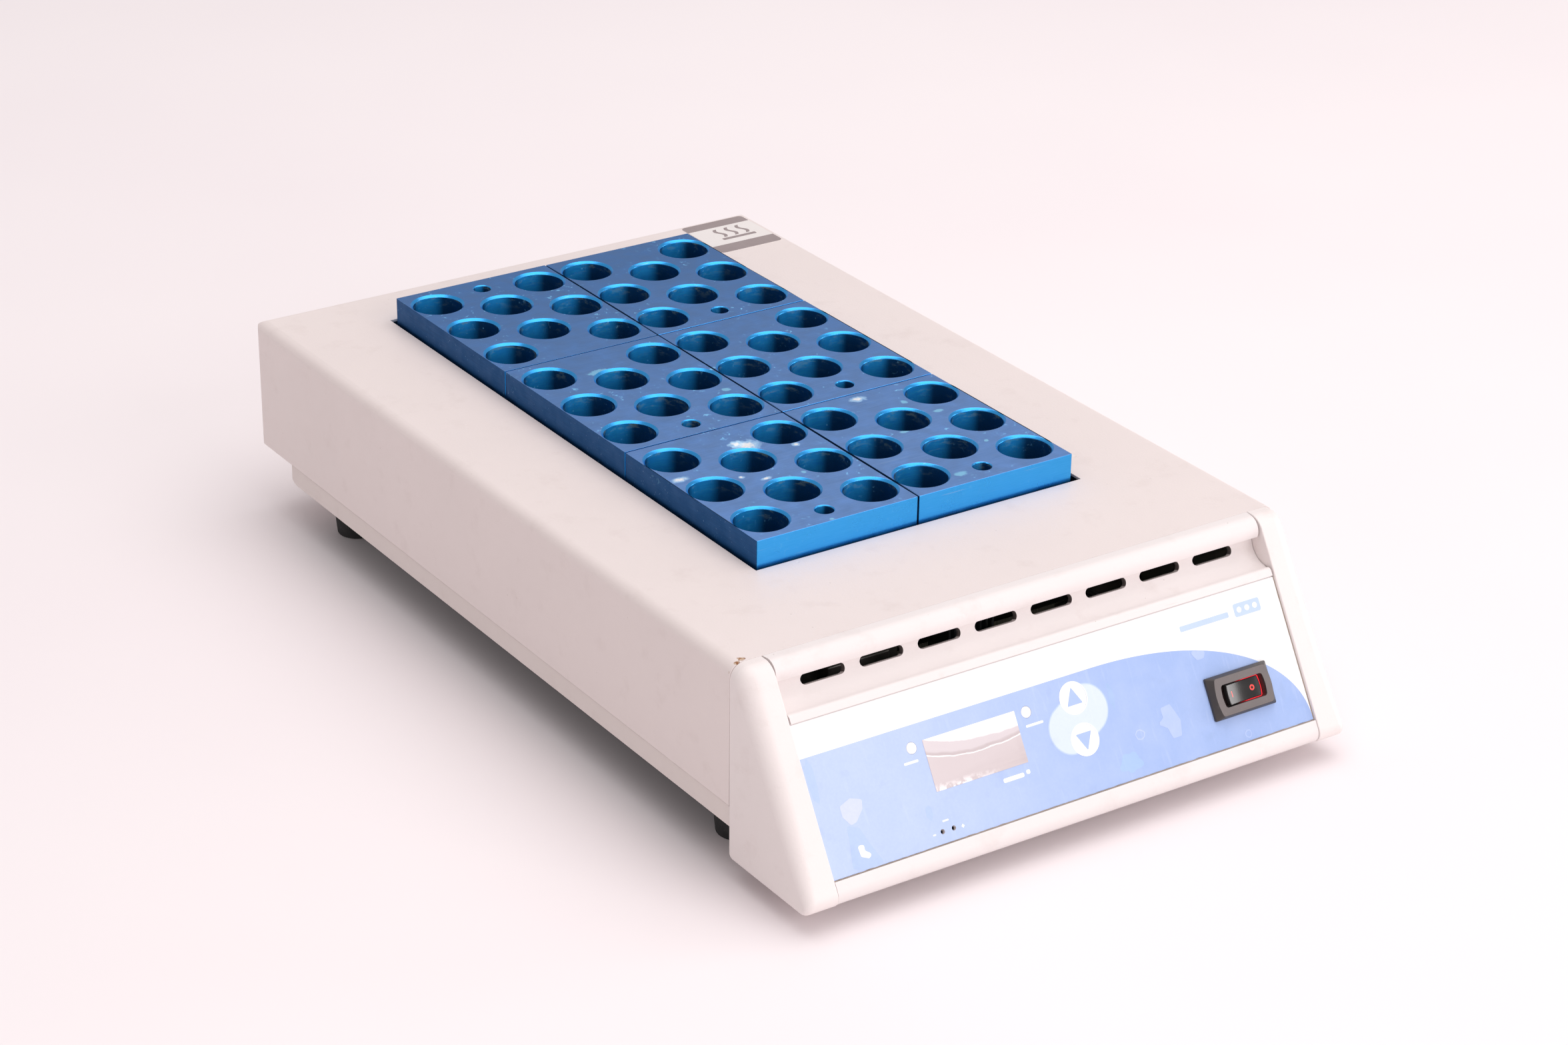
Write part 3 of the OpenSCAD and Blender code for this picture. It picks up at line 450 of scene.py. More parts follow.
# Dried splashes with a white core, and fainter blue-green marks without one.
SPLASHES = on_blocks([
    (-31.5, -30.0, 4.6, 1, 1.1),
    (-34.5, -27.0, 2.4, 1, 1),
    (-71.3, -43.4, 2.6, 0.8, 1.5),
    (-41.8, -60.2, 1.5, 0.8, 1.5),
    (-49.7, -54.1, 1.0, 1, 1),
    (-14.3, -39.6, 1.4, 1, 1),
    (31.9, -15.8, 2.3, 0.8, 1.2),
])
SPOTS = on_blocks([
    (24.9, -97.0, 1.9, 0.8, 1.5),
    (52.3, -76.7, 0.8, 1, 1),
    (-41.1, -104.0, 0.7, 1, 1),
    (8.6, 6.4, 1.4, 1, 1.3),
    (34.0, 15.6, 1.3, 1, 1.3),
    (-8.0, 21.0, 1.6, 1, 1.4),
    (-43.0, 64.0, 2.8, 0.7, 1.5),
    (46.4, -28.3, 1.1, 1, 1),
    (53.2, -42.7, 1.3, 0.8, 1.3),
    (29.2, -52.5, 1.1, 0.8, 1.3),
    (-26.4, -63.0, 0.9, 1, 1),
    (-15.0, 11.8, 1.6, 1, 1),
])

PAINT = (0.81, 0.72, 0.7)
PAINT_DIRT = (0.62, 0.52, 0.49)
# How each material slot is made: a function above, and what it takes after the name.
RECIPES = {
    "painted_cover": (powder_coat, PAINT, PAINT_DIRT, CHIPS),
    "painted_pan": (powder_coat, (0.76, 0.68, 0.65), PAINT_DIRT),
    "dark_plate": (metal, (0.05, 0.05, 0.052), 0.5),
    "moulded_caps": (powder_coat, (0.845, 0.772, 0.756), PAINT_DIRT),
    "moulded_bezel": (powder_coat, (0.825, 0.762, 0.752), PAINT_DIRT),
    "overlay": (print_ink, (0.93, 0.92, 0.925), 0.32, (0.97, 0.96, 0.96)),
    "black_plastic": (moulded, (0.03, 0.03, 0.032), 0.45),
    "led_lens": (glossy, (0.95, 0.93, 0.93), 0.3),
    "keys": (print_ink, (0.93, 0.94, 0.96), 0.32, (0.97, 0.97, 0.98)),
    "switch_black": (moulded, (0.05, 0.042, 0.04), 0.45, 0.35 * MM, 0.015 * MM),
    "rocker_black": (glossy, (0.022, 0.02, 0.02), 0.21),
    # The red lens has a painted glow, and painted shade left of about x = 83 mm.
    "rocker_red": (glossy, (0.8, 0.03, 0.03), 0.15, 0.0, (0.75, 0.02, 0.035), 83 * MM),
    "circuit_board": (circuit_board,),
    "trimmer_blue": (moulded, (0.04, 0.12, 0.4), 0.4),
    "brass": (metal, (0.78, 0.58, 0.27), 0.3),
    "blue_anodised": (anodised, (0.04, 0.37, 0.86), (0.06, 0.43, 0.93), 0.3, (0.05, 1, 1), (), 0.15),
    "liner_metal": (metal, (0.2, 0.2, 0.21), 0.45, (1, 1, 0.05)),
    "plate_metal": (metal, (0.62, 0.63, 0.65), 0.4, (0.05, 1, 1)),
    "silicone_mat": (woven, (0.62, 0.16, 0.05), (0.42, 0.09, 0.03), 1.2 * MM),
    "insulation": (woven, (0.85, 0.83, 0.74), (0.6, 0.58, 0.5), 2.5 * MM),
    "bright_steel": (metal, (0.66, 0.66, 0.68), 0.28),
    "transformer_steel": (metal, (0.4, 0.38, 0.36), 0.5, (1, 0.05, 1)),
    "fuse_glass": (glossy, (0.85, 0.87, 0.85), 0.06, 0.7),
    "cable_cover": (moulded, (0.55, 0.53, 0.5), 0.5),
    "rubber": (moulded, (0.025, 0.025, 0.025), 0.75, 0.6 * MM, 0.04 * MM),
    "window": (glossy, (0.5, 0.46, 0.45), 0.1),
    "label": (print_ink, (0.82, 0.77, 0.75), 0.4, (0.9, 0.87, 0.85)),
    "plate_label": (metal, (0.72, 0.72, 0.73), 0.35, (0.05, 1, 1)),
}
LOOKS = {slot: make(slot + "_look", *how) for slot, (make, *how) in RECIPES.items()}
# Copies of the anodising for the blocks: tops greyer and darker towards the back as painted shade, sides
# dark as painted shade, wells with a painted glint.
BLOCK_TOP = anodised("anodised_top", (0.15, 0.32, 0.69), (0.22, 0.41, 0.82), 0.42, (0.04, 1, 1),
                     splashes=SPLASHES)
BLOCK_SIDE_SHADE = anodised("anodised_side_shade", (0.008, 0.07, 0.21), (0.014, 0.105, 0.29), 0.5, (1, 0.03, 1),
                      nicked=0.4)
BLOCK_WELL = anodised("anodised_well", (0.012, 0.32, 0.95), (0.03, 0.5, 1.0), 0.42, (0.06, 0.06, 1),
                      nicked=0.6, glint_and_residue_top=block_top, metallic=0.6)
for node_name, cad in NODES.items():
    cad.data.materials.clear()
    cad.data.materials.append(LOOKS[SLOT_OF[node_name]])


# ---- mesh helpers ----

def add_object(name, data):
    made = bpy.data.objects.new(name, data)
    bpy.context.scene.collection.objects.link(made)
    return made


def add_piece(name, mesh, look, body, slot):
    """A shown piece with its material, which rides on a body. Its slot is not used."""
    mesh.materials.clear()
    mesh.materials.append(look)
    piece = add_object(name, mesh)
    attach(piece, body)
    return piece


def mesh_from(name, bm, smooth_under=40.0):
    """Closes a bmesh into a mesh whose edges flatter than an angle shade smooth."""
    bmesh.ops.recalc_face_normals(bm, faces=bm.faces)
    mesh = bpy.data.meshes.new(name)
    bm.to_mesh(mesh)
    bm.free()
    for face in mesh.polygons:
        face.use_smooth = True
    mesh.set_sharp_from_angle(angle=radians(smooth_under))
    return mesh


def round_edges(bm, width, steps=2, over=30.0):
    """Rounds every edge sharper than an angle."""
    bmesh.ops.remove_doubles(bm, verts=bm.verts, dist=2 * MICRON)
    bmesh.ops.dissolve_limit(bm, angle_limit=radians(0.6), verts=bm.verts, edges=bm.edges)
    sharp = [e for e in bm.edges if e.is_manifold and e.calc_face_angle(0) > radians(over)]
    bmesh.ops.bevel(bm, geom=sharp, offset=width, offset_type="OFFSET", segments=steps, profile=0.5,
                    affect="EDGES", clamp_overlap=True, harden_normals=False)


def stand_in(name, bm, node, smooth_under=50.0):
    """Turns a bmesh into the piece that replaces a CAD node, with the look of its node's slot and its body.
    """
    slot = SLOT_OF[node]
    piece = add_piece(name, mesh_from(name, bm, smooth_under), LOOKS[slot], NODES[node]["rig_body"], slot)
    piece.modifiers.new("face_weight", "WEIGHTED_NORMAL").keep_sharp = True
    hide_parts(node)
    return piece


def softened(node, width=0.3 * MM, steps=2, over=30.0):
    """A finer copy of a CAD node with its sharp edges rounded, which stands in for it."""
    bm = bmesh.new()
    bm.from_mesh(NODES[node].data)
    round_edges(bm, width, steps, over)
    return stand_in(node + "_form", bm, node)


def thicken(bm, way):
    """Extrudes every face of a flat or curved sheet by a vector."""
    made = bmesh.ops.extrude_face_region(bm, geom=bm.faces[:])
    moved = [v for v in made["geom"] if isinstance(v, bmesh.types.BMVert)]
    bmesh.ops.translate(bm, verts=moved, vec=way)


def layer(face, name, outline, look, top, depth, holes=(), slot="overlay", body="root"):
    """A thin layer on a face, from h = top down by depth. Outlines are lists of (x, s)."""
    bm = bmesh.new()
    edges = []
    for loop in [outline, *holes]:
        points = [bm.verts.new(face.at(x, s, top)) for x, s in loop]
        edges += [bm.edges.new((points[i - 1], points[i])) for i in range(len(points))]
    bmesh.ops.triangle_fill(bm, edges=edges, use_beauty=True, normal=face.out)
    thicken(bm, face.out * -depth)
    return add_piece(name, mesh_from(name, bm), look, body, slot)


def loft(bm, rings):
    """Joins rings of points, each with as many points as the next, by quads."""
    grid = [[bm.verts.new(point) for point in ring] for ring in rings]
    for a, b in zip(grid, grid[1:]):
        for i in range(len(a)):
            bm.faces.new((a[i - 1], a[i], b[i], b[i - 1]))
    return grid


def sheet_of(bm, lines):
    """Joins lines of points, each with as many points as the next, by quads into an open sheet."""
    grid = [[bm.verts.new(point) for point in line] for line in lines]
    for a, b in zip(grid, grid[1:]):
        for i in range(len(a) - 1):
            bm.faces.new((a[i], a[i + 1], b[i + 1], b[i]))


def turns(count):
    return [2 * pi * i / count for i in range(count)]


def circle(x, s, r, count=48):
    return [(x + r * cos(t), s + r * sin(t)) for t in turns(count)]


def rectangle(low, high, grow=0.0):
    x0, s0 = low[0] - grow, low[1] - grow
    x1, s1 = high[0] + grow, high[1] + grow
    return [(x0, s0), (x1, s0), (x1, s1), (x0, s1)]


def round_rectangle(x, s, half_w, half_s, r, corner=4, side=1, bow=0.0):
    """A rectangle with round corners, whose left and right sides may bow outward."""
    points = []
    corners = [(1, -1, -90), (1, 1, 0), (-1, 1, 90), (-1, -1, 180)]
    for i, (cx, cs, start) in enumerate(corners):
        for k in range(corner + 1):
            t = radians(start + 90 * k / corner)
            points.append((cx * (half_w - r) + r * cos(t), cs * (half_s - r) + r * sin(t)))
        nx, ns, after = corners[(i + 1) % 4]
        t = radians(after)
        end = (nx * (half_w - r) + r * cos(t), ns * (half_s - r) + r * sin(t))
        begin = points[-1]
        for k in range(1, side):
            share = k / side
            points.append(tuple(a + (b - a) * share for a, b in zip(begin, end)))
    return [(x + px * (1 + bow * (1 - (ps / half_s) ** 2) / half_w), s + ps) for px, ps in points]


def round_joined(discs, middle, count=200):
    """Outline round several discs (x, s, r) that overlap about a middle point."""
    points = []
    for t in turns(count):
        ray = Vector((cos(t), sin(t)))
        reach = 0
        for x, s, r in discs:
            to = Vector((x - middle[0], s - middle[1]))
            along = to.dot(ray)
            inside = r * r - (to.dot(to) - along * along)
            if inside > 0:
                reach = max(reach, along + sqrt(inside))
        points.append((middle[0] + reach * ray.x, middle[1] + reach * ray.y))
    return points


def round_polygon(corners, r, steps=5):
    """A polygon, wound anticlockwise, with its corners rounded to radius r."""
    points = []
    for i, corner in enumerate(corners):
        here = Vector(corner)
        before = (Vector(corners[i - 1]) - here).normalized()
        after = (Vector(corners[(i + 1) % len(corners)]) - here).normalized()
        half = before.angle(after) / 2
        centre = here + (before + after).normalized() * (r / sin(half))
        start = here + before * (r / tan(half)) - centre
        end = here + after * (r / tan(half)) - centre
        turn = start.angle_signed(end)
        for k in range(steps + 1):
            t = -turn * k / steps
            x = start.x * cos(t) - start.y * sin(t)
            s = start.x * sin(t) + start.y * cos(t)
            points.append((centre.x + x, centre.y + s))
    return points


def blob(x, s, rx, rs, seed, rough, count=56):
    """An uneven closed outline, such as a stain."""
    points = []
    for t in turns(count):
        wobble = noise.noise(Vector((cos(t) * 1.6, sin(t) * 1.6, seed)))
        wobble += 0.12 * noise.noise(Vector((cos(t) * 4, sin(t) * 4, seed)))
        r = 1 + rough * 2 * wobble
        points.append((x + rx * r * cos(t), s + rs * r * sin(t)))
    return points


def ragged_strip(x0, x1, s_low, s_high, seed, rough=0.5, step=1.2 * MM, upright=False):
    """A long thin strip whose upper side is ragged. Upright strips run along s instead of x."""
    count = int((x1 - x0) / step)
    far = []
    for i in range(count + 1):
        at = x0 + (x1 - x0) * i / count
        worn = noise.noise(Vector((at / (3 * MM), seed, 0))) + 0.5 * noise.noise(Vector((at / MM, seed, 5)))
        far.append((at, s_high + (s_high - s_low) * rough * worn))
    near_side = [(x1, s_low), (x0, s_low)]
    outline = far + near_side
    return [(s, x) for x, s in outline] if upright else outline


# ---- housing ----

def end_cap(node, side):
    """A moulded end cap: its side outline swept with a round outer edge whose radius varies."""
    lo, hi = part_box(node)
    outer, inner = (hi.x, lo.x) if side > 0 else (lo.x, hi.x)
    brow_r, foot_r = 8 * MM, 4.5 * MM
    tilt = atan2(PANEL.up.z, PANEL.up.y)
    cap_h = PANEL.box(node)[1][2]
    outline = []

    def add(y, z, angle, radius):
        outline.append((Vector((y, z)), Vector((cos(angle), sin(angle))), radius))

    def slope_centre(z, r):
        s = (z - PANEL.origin.z - (cap_h - r) * cos(tilt)) / sin(tilt)
        point = PANEL.at(0, s, cap_h - r)
        return Vector((point.y, point.z))

    def arc(centre, r, start, end, radii, count=14):
        for i in range(count + 1):
            t = i / count
            angle = start + (end - start) * t
            at = centre + r * Vector((cos(angle), sin(angle)))
            add(at.x, at.y, angle, radii[0] + (radii[1] - radii[0]) * t)

    quarter = pi / 2
    out = quarter + tilt
    brow = slope_centre(hi.z - brow_r, brow_r)
    foot = slope_centre(lo.z + foot_r, foot_r)
    top_edge, front_edge, foot_edge, low_edge = 6 * MM, 7 * MM, 4.2 * MM, 1.2 * MM
    back_r = 2.5 * MM
    back_top = Vector((hi.y, hi.z))
    add(back_top.x, back_top.y, quarter, top_edge)
    arc(brow, brow_r, quarter, out, (top_edge, front_edge))
    steps = 8
    start = outline[-1][0]
    end = foot + foot_r * Vector((cos(out), sin(out)))
    for i in range(1, steps):
        t = i / steps
        at = start.lerp(end, t)
        add(at.x, at.y, out, front_edge + (foot_edge - front_edge) * t ** 3)
    arc(foot, foot_r, out, 3 * quarter, (foot_edge, low_edge))
    arc(Vector((hi.y - back_r, lo.z + back_r)), back_r, 3 * quarter, 4 * quarter, (low_edge, 0.5 * MM), 6)

    def ring(x, way, angle, radius=None):
        """The outline where its round edge, which ends at x, has turned by an angle."""
        points = []
        for place, normal, r in outline:
            r = radius or r
            at = place - normal * r * (1 - cos(angle))
            points.append((x - way * r * (1 - sin(angle)), at.x, at.y))
        return points

    sweep, small_sweep, small = 9, 3, 0.5 * MM
    rings = [ring(inner, -side, quarter * i / small_sweep, small) for i in range(small_sweep, -1, -1)]
    rings += [ring(outer, side, quarter * i / sweep) for i in range(sweep + 1)]
    bm = bmesh.new()
    grid = loft(bm, rings)
    bm.faces.new(grid[0])
    bm.faces.new(grid[-1])
    stand_in(node + "_form", bm, node, 35)


def finish_bezel():
    """The bezel. Its lip and ridge stop short of the end caps, and its slots' end walls are painted dark as
    shade.
    """
    bezel = softened("front_bezel", 0.35 * MM, 3, 35)
    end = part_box("front_bezel")[1].x
    near_end, gap = 0.5 * MM, 0.55 * MM
    lip_s, lip_h = 73.5 * MM, -3.2 * MM
    ridge_low, ridge_high, ridge_h = 57.4 * MM, 62.6 * MM, -2 * MM
    slot_low, slot_high, slot_h = 64 * MM, 74 * MM, -5 * MM

    def on_panel(point):
        away = point - PANEL.origin
        return away.dot(PANEL.up), away.dot(PANEL.out)

    for vert in bezel.data.vertices:
        s, h = on_panel(vert.co)
        on_lip = s > lip_s and h > lip_h
        on_ridge = ridge_low < s < ridge_high and h > ridge_h
        if abs(vert.co.x) > end - near_end and (on_lip or on_ridge):
            vert.co.x -= copysign(gap, vert.co.x)
    # Painted shade: a dark copy for the slots' end walls.
    bezel.data.materials.append(moulded("slot_end_shade", (0.12, 0.1, 0.095), 0.6))
    for face in bezel.data.polygons:
        s, h = on_panel(face.center)
        if abs(face.normal.x) > 0.6 and slot_low < s < slot_high and h < slot_h:
            face.material_index = 1


end_cap("right_end_cap", 1)
end_cap("left_end_cap", -1)
softened("top_cover", 0.3 * MM, 3)
softened("base_pan", 0.3 * MM)
finish_bezel()

# ---- control panel ----

# Inks given a sixth argument get a painted glare that pales them towards the left, as strong as that
# argument.
BLUE = print_ink("print_blue", (0.345, 0.468, 0.785), 0.34, (0.68, 0.76, 0.98), 0.15, 0.42)
WORN_BLUE = print_ink("print_worn_blue", (0.36, 0.52, 0.8), 0.4, (0.5, 0.63, 0.9), 0.3, 0.3)
STAIN_BLUE = print_ink("print_stain_blue", (0.34, 0.48, 0.77), 0.4, (0.58, 0.68, 0.93), 0.3, 0.45)
HALO_BLUE = print_ink("print_halo_blue", (0.47, 0.59, 0.85), 0.34, (0.62, 0.72, 0.92))
SOFT_BLUE = print_ink("print_soft_blue", (0.56, 0.67, 0.88), 0.34, (0.7, 0.78, 0.93))
PALE_BLUE = print_ink("print_pale_blue", (0.66, 0.75, 0.9), 0.34, (0.78, 0.84, 0.93))
TRIANGLE_BLUE = print_ink("print_triangle_blue", (0.4, 0.52, 0.86), 0.34, (0.5, 0.62, 0.93))
CAPTION = print_ink("print_caption", (0.84, 0.88, 0.97), 0.34, (0.9, 0.93, 0.99))
PALE_MARK = print_ink("print_pale_mark", (0.52, 0.64, 0.95), 0.34, (0.7, 0.78, 0.98))
BARE_PAPER = print_ink("bare_paper", (0.92, 0.91, 0.92), 0.55, (0.97, 0.96, 0.96))
RESIDUE = print_ink("glue_residue", (0.43, 0.54, 0.84), 0.6, (0.7, 0.74, 0.93), 0.3, 0.75)
EDGE_DIRT_AND_SHADE = print_ink("edge_dirt_and_shade", (0.36, 0.29, 0.24), 0.8, (0.55, 0.48, 0.42), 0.5)
# Painted sheen: a lighter copy of the switch's black plastic for its outward face.
SWITCH_FACE_SHEEN = moulded("switch_face_sheen", (0.17, 0.146, 0.143), 0.42, 0.35 * MM, 0.015 * MM)
# The rocker's printed red marks get a painted glow.
RED_MARK = glossy("rocker_mark_red", (0.85, 0.07, 0.06), 0.3, 0.0, (1, 0.1, 0.08))
INK = 0.03 * MM

film_low, film_high = PANEL.box("overlay_film")
window_low, window_high = PANEL.box("display_window")
switch_low, switch_high = PANEL.box("switch_body")
key_x, up_s = PANEL.middle("up_button")
down_s = PANEL.middle("down_button")[1]
key_r = 5.85 * MM
led_r = 2.15 * MM


def print_blue_field():
    """The blue field: level on the left, falling to the right-hand corner along a rounded curve."""
    crest = film_low[1] + 45.2 * MM
    fall_from = 18 * MM
    power = 2.15
    outline = [(film_low[0], film_low[1]), (film_low[0], crest)]
    for i in range(49):
        t = pi / 2 * i / 48
        across = fall_from + (film_high[0] - fall_from) * sin(t) ** (2 / power)
        up = film_low[1] + (crest - film_low[1]) * cos(t) ** (2 / power)
        outline.append((across, up))
    holes = [rectangle(window_low, window_high, -0.4 * MM), rectangle(switch_low, switch_high, 0.2 * MM)]
    holes += [circle(*PANEL.middle(led), led_r + 0.1 * MM, 32) for led in ("actual_led", "setpoint_led")]
    holes += [circle(key_x, s, key_r + 0.2 * MM) for s in (up_s, down_s)]
    holes += [circle(*PANEL.middle(trimmer), 0.95 * MM, 20) for trimmer in ("low_trimmer", "high_trimmer")]
    layer(PANEL, "blue_field", outline[::-1], BLUE, INK, 2 * INK, holes)


def print_key_field():
    """Two joined pale discs behind the keys, with a soft darker edge, and the keys with their triangles."""
    disc_r = 9.6 * MM
    start, end = (key_x + 4.4 * MM, up_s - 5.4 * MM), (key_x - 5.1 * MM, down_s + 5.4 * MM)
    discs = [(start[0] + (end[0] - start[0]) * i / 8, start[1] + (end[1] - start[1]) * i / 8, disc_r)
             for i in range(9)]
    discs += [(key_x, s, key_r + 0.2 * MM) for s in (up_s, down_s)]
    middle = (key_x - 0.4 * MM, (up_s + down_s) / 2)
    holes = [circle(key_x, s, key_r + 0.03 * MM, 96) for s in (up_s, down_s)]
    for i, look in enumerate((HALO_BLUE, SOFT_BLUE, PALE_BLUE)):
        rounds = [(x, s, r + (0.3 - 0.3 * i) * MM) for x, s, r in discs]
        layer(PANEL, f"key_field_{i + 1}", round_joined(rounds, middle), look, (2 + i) * INK, 2 * INK, holes)
    keys = (("up_button", "up_key", up_s, 1), ("down_button", "down_key", down_s, -1))
    for (_, body, s, _), hole in zip(keys, holes):
        rim = circle(key_x, s, key_r + 0.5 * MM, 96)
        layer(PANEL, body + "_rim", rim, LOOKS["keys"], 5 * INK, 3 * INK, [hole])
    for node, body, s, way in keys:
        softened(node, 0.05 * MM, 2)
        key_top = PANEL.box(node)[1][2]
        corners = [(0, 4.2), (-3.6, -2.6), (3.6, -2.6)]
        corners = [(key_x + x * way * MM, s + up * way * MM) for x, up in corners]
        layer(PANEL, body + "_triangle", round_polygon(corners, 0.25 * MM), TRIANGLE_BLUE,
              key_top + INK, 2 * INK, (), "keys", body)


def crinkle_window():
    """The display's peel-off film: a thin sheet with one sagging crease and a crumpled lower edge."""
    columns, rows = 132, 66
    low, high = window_low, window_high
    inset, top, under = 0.2 * MM, 0.14 * MM, 0.25 * MM

    def height(u, v):
        sag = 0.205 * max(0.0, 1 - u / 0.55) ** 2 + 0.07 * max(0.0, (u - 0.55) / 0.45) ** 2
        level = v - 0.515 - sag - 0.012 * noise.noise(Vector((u * 6, 2, 2)))
        folds = 0.26 * exp(-(level / 0.03) ** 2) - 0.12 * exp(-((level - 0.06) / 0.03) ** 2)
        ripple = 0.07 * noise.noise(Vector((u * 1.8, level * 9, 1)))
        corner = max(0.0, 1 - v * 7) * max(0.0, 1 - u * 1.5)
        corner += max(0.0, u * 9 - 8) * max(0.0, 1 - abs(v - 0.35) * 5)
        crumple = 0.5 * noise.noise(Vector((u * 8, v * 9, 4))) * corner
        edge = min(1.0, 16 * min(u, 1 - u), 10 * min(v, 1 - v))
        return top + (folds + ripple + crumple + 0.15) * edge * 0.8 * MM

    def point(u, v):
        x = low[0] + inset + (high[0] - low[0] - 2 * inset) * u
        s = low[1] + inset + (high[1] - low[1] - 2 * inset) * v
        return PANEL.at(x, s, height(u, v))

    bm = bmesh.new()
    sheet_of(bm, [[point(i / columns, j / rows) for i in range(columns + 1)] for j in range(rows + 1)])
    made = bmesh.ops.extrude_edge_only(bm, edges=[e for e in bm.edges if e.is_boundary])
    for vert in made["geom"]:
        if isinstance(vert, bmesh.types.BMVert):
            vert.co -= PANEL.out * ((vert.co - PANEL.origin).dot(PANEL.out) + under)
    bmesh.ops.contextual_create(bm, geom=[e for e in bm.edges if e.is_boundary])
    mesh = mesh_from("window_film", bm, 60)
    film = add_piece("window_film", mesh, creased_film(low, high), "root", "window")
    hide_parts("display_window")


def print_small_marks():
    """Plain strokes and dots where the panel has captions; they say nothing."""
    strokes = [(-68.3, 31.6, 3.2, 0.5), (-12.1, 31.2, 4.0, 0.5), (-27.4, 14.6, 4.8, 0.85),
               (-20.6, 15.1, 0.9, 0.85), (-61.0, 7.7, 1.4, 0.35), (-67.2, 3.8, 0.7, 0.3),
               (-54.4, 3.8, 0.7, 0.3)]
    for i, (x, s, half_w, half_s) in enumerate(strokes):
        outline = round_rectangle(x * MM, s * MM, half_w * MM, half_s * MM, half_s * 0.8 * MM)
        layer(PANEL, f"caption_stroke_{i + 1}", outline, CAPTION, 2 * INK, 2 * INK)
    upright = round_rectangle(-54.4 * MM, 3.8 * MM, 0.3 * MM, 0.7 * MM, 0.2 * MM)
    layer(PANEL, "caption_plus", upright, CAPTION, 2.2 * INK, 2 * INK)


def print_block_sign():
    """A plain sign at the panel's upper right: a heating block with three wells, and a stripe."""
    block = round_rectangle(97 * MM, 49 * MM, 6.5 * MM, 2.6 * MM, 0.9 * MM, 5)
    wells = [circle((97 + x) * MM, 49 * MM, 1.15 * MM, 24) for x in (-3.9, 0, 3.9)]
    layer(PANEL, "sign_block", block, PALE_MARK, INK, 2 * INK, wells)
    stripe = round_rectangle(75.5 * MM, 48.4 * MM, 12 * MM, 1.1 * MM, 0.5 * MM)
    layer(PANEL, "sign_stripe", stripe, PALE_MARK, INK, 2 * INK)


def add_residue():
    """Old glue, worn print and dirt on the panel, with painted shade along its lower edge and where it meets
    the end caps.
    """
    def patch(*corners):
        return round_polygon([(x * MM, s * MM) for x, s in corners], 0.9 * MM)

    def stain(x, s, rx, rs, seed, rough):
        return blob(x * MM, s * MM, rx * MM, rs * MM, seed, rough)

    marks = [
        ("worn_left_edge", STAIN_BLUE, 1.5, stain(-110.6, 36.5, 1.9, 7.6, 3, 0.16)),
        ("worn_left_low", STAIN_BLUE, 1.5, patch((-104, 1.6), (-99.7, -0.1), (-90.6, 0.4), (-94.6, 8.9),
                                                 (-96.8, 14.9), (-101.8, 17.2), (-102.6, 9))),
        ("worn_by_window", STAIN_BLUE, 1.5, stain(-66.8, 12.2, 1.4, 2.6, 12, 0.18)),
        ("smudge_by_keys", STAIN_BLUE, 1.5, stain(24.3, 32.5, 1.3, 4.4, 15, 0.16)),
        ("haze_low", WORN_BLUE, 1.5, stain(25.2, 6.2, 5.0, 3.6, 17, 0.2)),
        ("glue_left", RESIDUE, 2.5, patch((-102.4, 20.4), (-99.8, 16.7), (-97.2, 17.3), (-93.4, 21.2),
                                          (-92.6, 24.6), (-97.4, 26.2), (-102.4, 24.4))),
        ("glue_right", RESIDUE, 2.5, patch((41.4, 16.6), (45.4, 14.2), (46.6, 9.8), (50.9, 9.8),
                                           (52.2, 15.8), (49.2, 22.8), (44.4, 22.2), (44.6, 18.4))),
        ("glue_top", RESIDUE, 2.5, patch((67.3, 35.2), (70.6, 35.4), (72.2, 38.0), (64.5, 39.6))),
        ("paper_left", BARE_PAPER, 2.5, patch((-96.3, 3.4), (-94.5, 4.6), (-97.2, 6.6), (-96.9, 8.8),
                                              (-99.7, 9.0), (-99.4, 4.8))),
    ]
    for name, look, layers, outline in marks:
        layer(PANEL, name, outline, look, layers * INK, layers * INK)
    for name, x, s, r in (("glue_ring", 32.3, 15.2, 2.1), ("glue_ring_low", 81.2, 2.4, 1.6)):
        ring_in = stain(x, s, r - 0.45, r - 0.5, x, 0.1)
        layer(PANEL, name, stain(x, s, r, r, x, 0.1), RESIDUE, 2 * INK, 2 * INK, [ring_in])
    # Dirt and painted shade along the film's lower edge; painted shade in the gaps where it meets the end
    # caps.
    layer(PANEL, "dirt_and_shade_low", ragged_strip(film_low[0], film_high[0], film_low[1] - 0.3 * MM,
                                          film_low[1] + 0.15 * MM, 4), EDGE_DIRT_AND_SHADE, INK, 3 * INK)
    sides = (("edge_shade_left", film_low[0], -113.4 * MM, 7), ("edge_shade_right", film_high[0], 113.4 * MM, 11))
    for name, inner, wall, seed in sides:
        strip = ragged_strip(film_low[1], film_high[1], wall, inner, seed, 0.5, 1.2 * MM, True)
        layer(PANEL, name, strip, EDGE_DIRT_AND_SHADE, 2 * INK, 8 * INK)


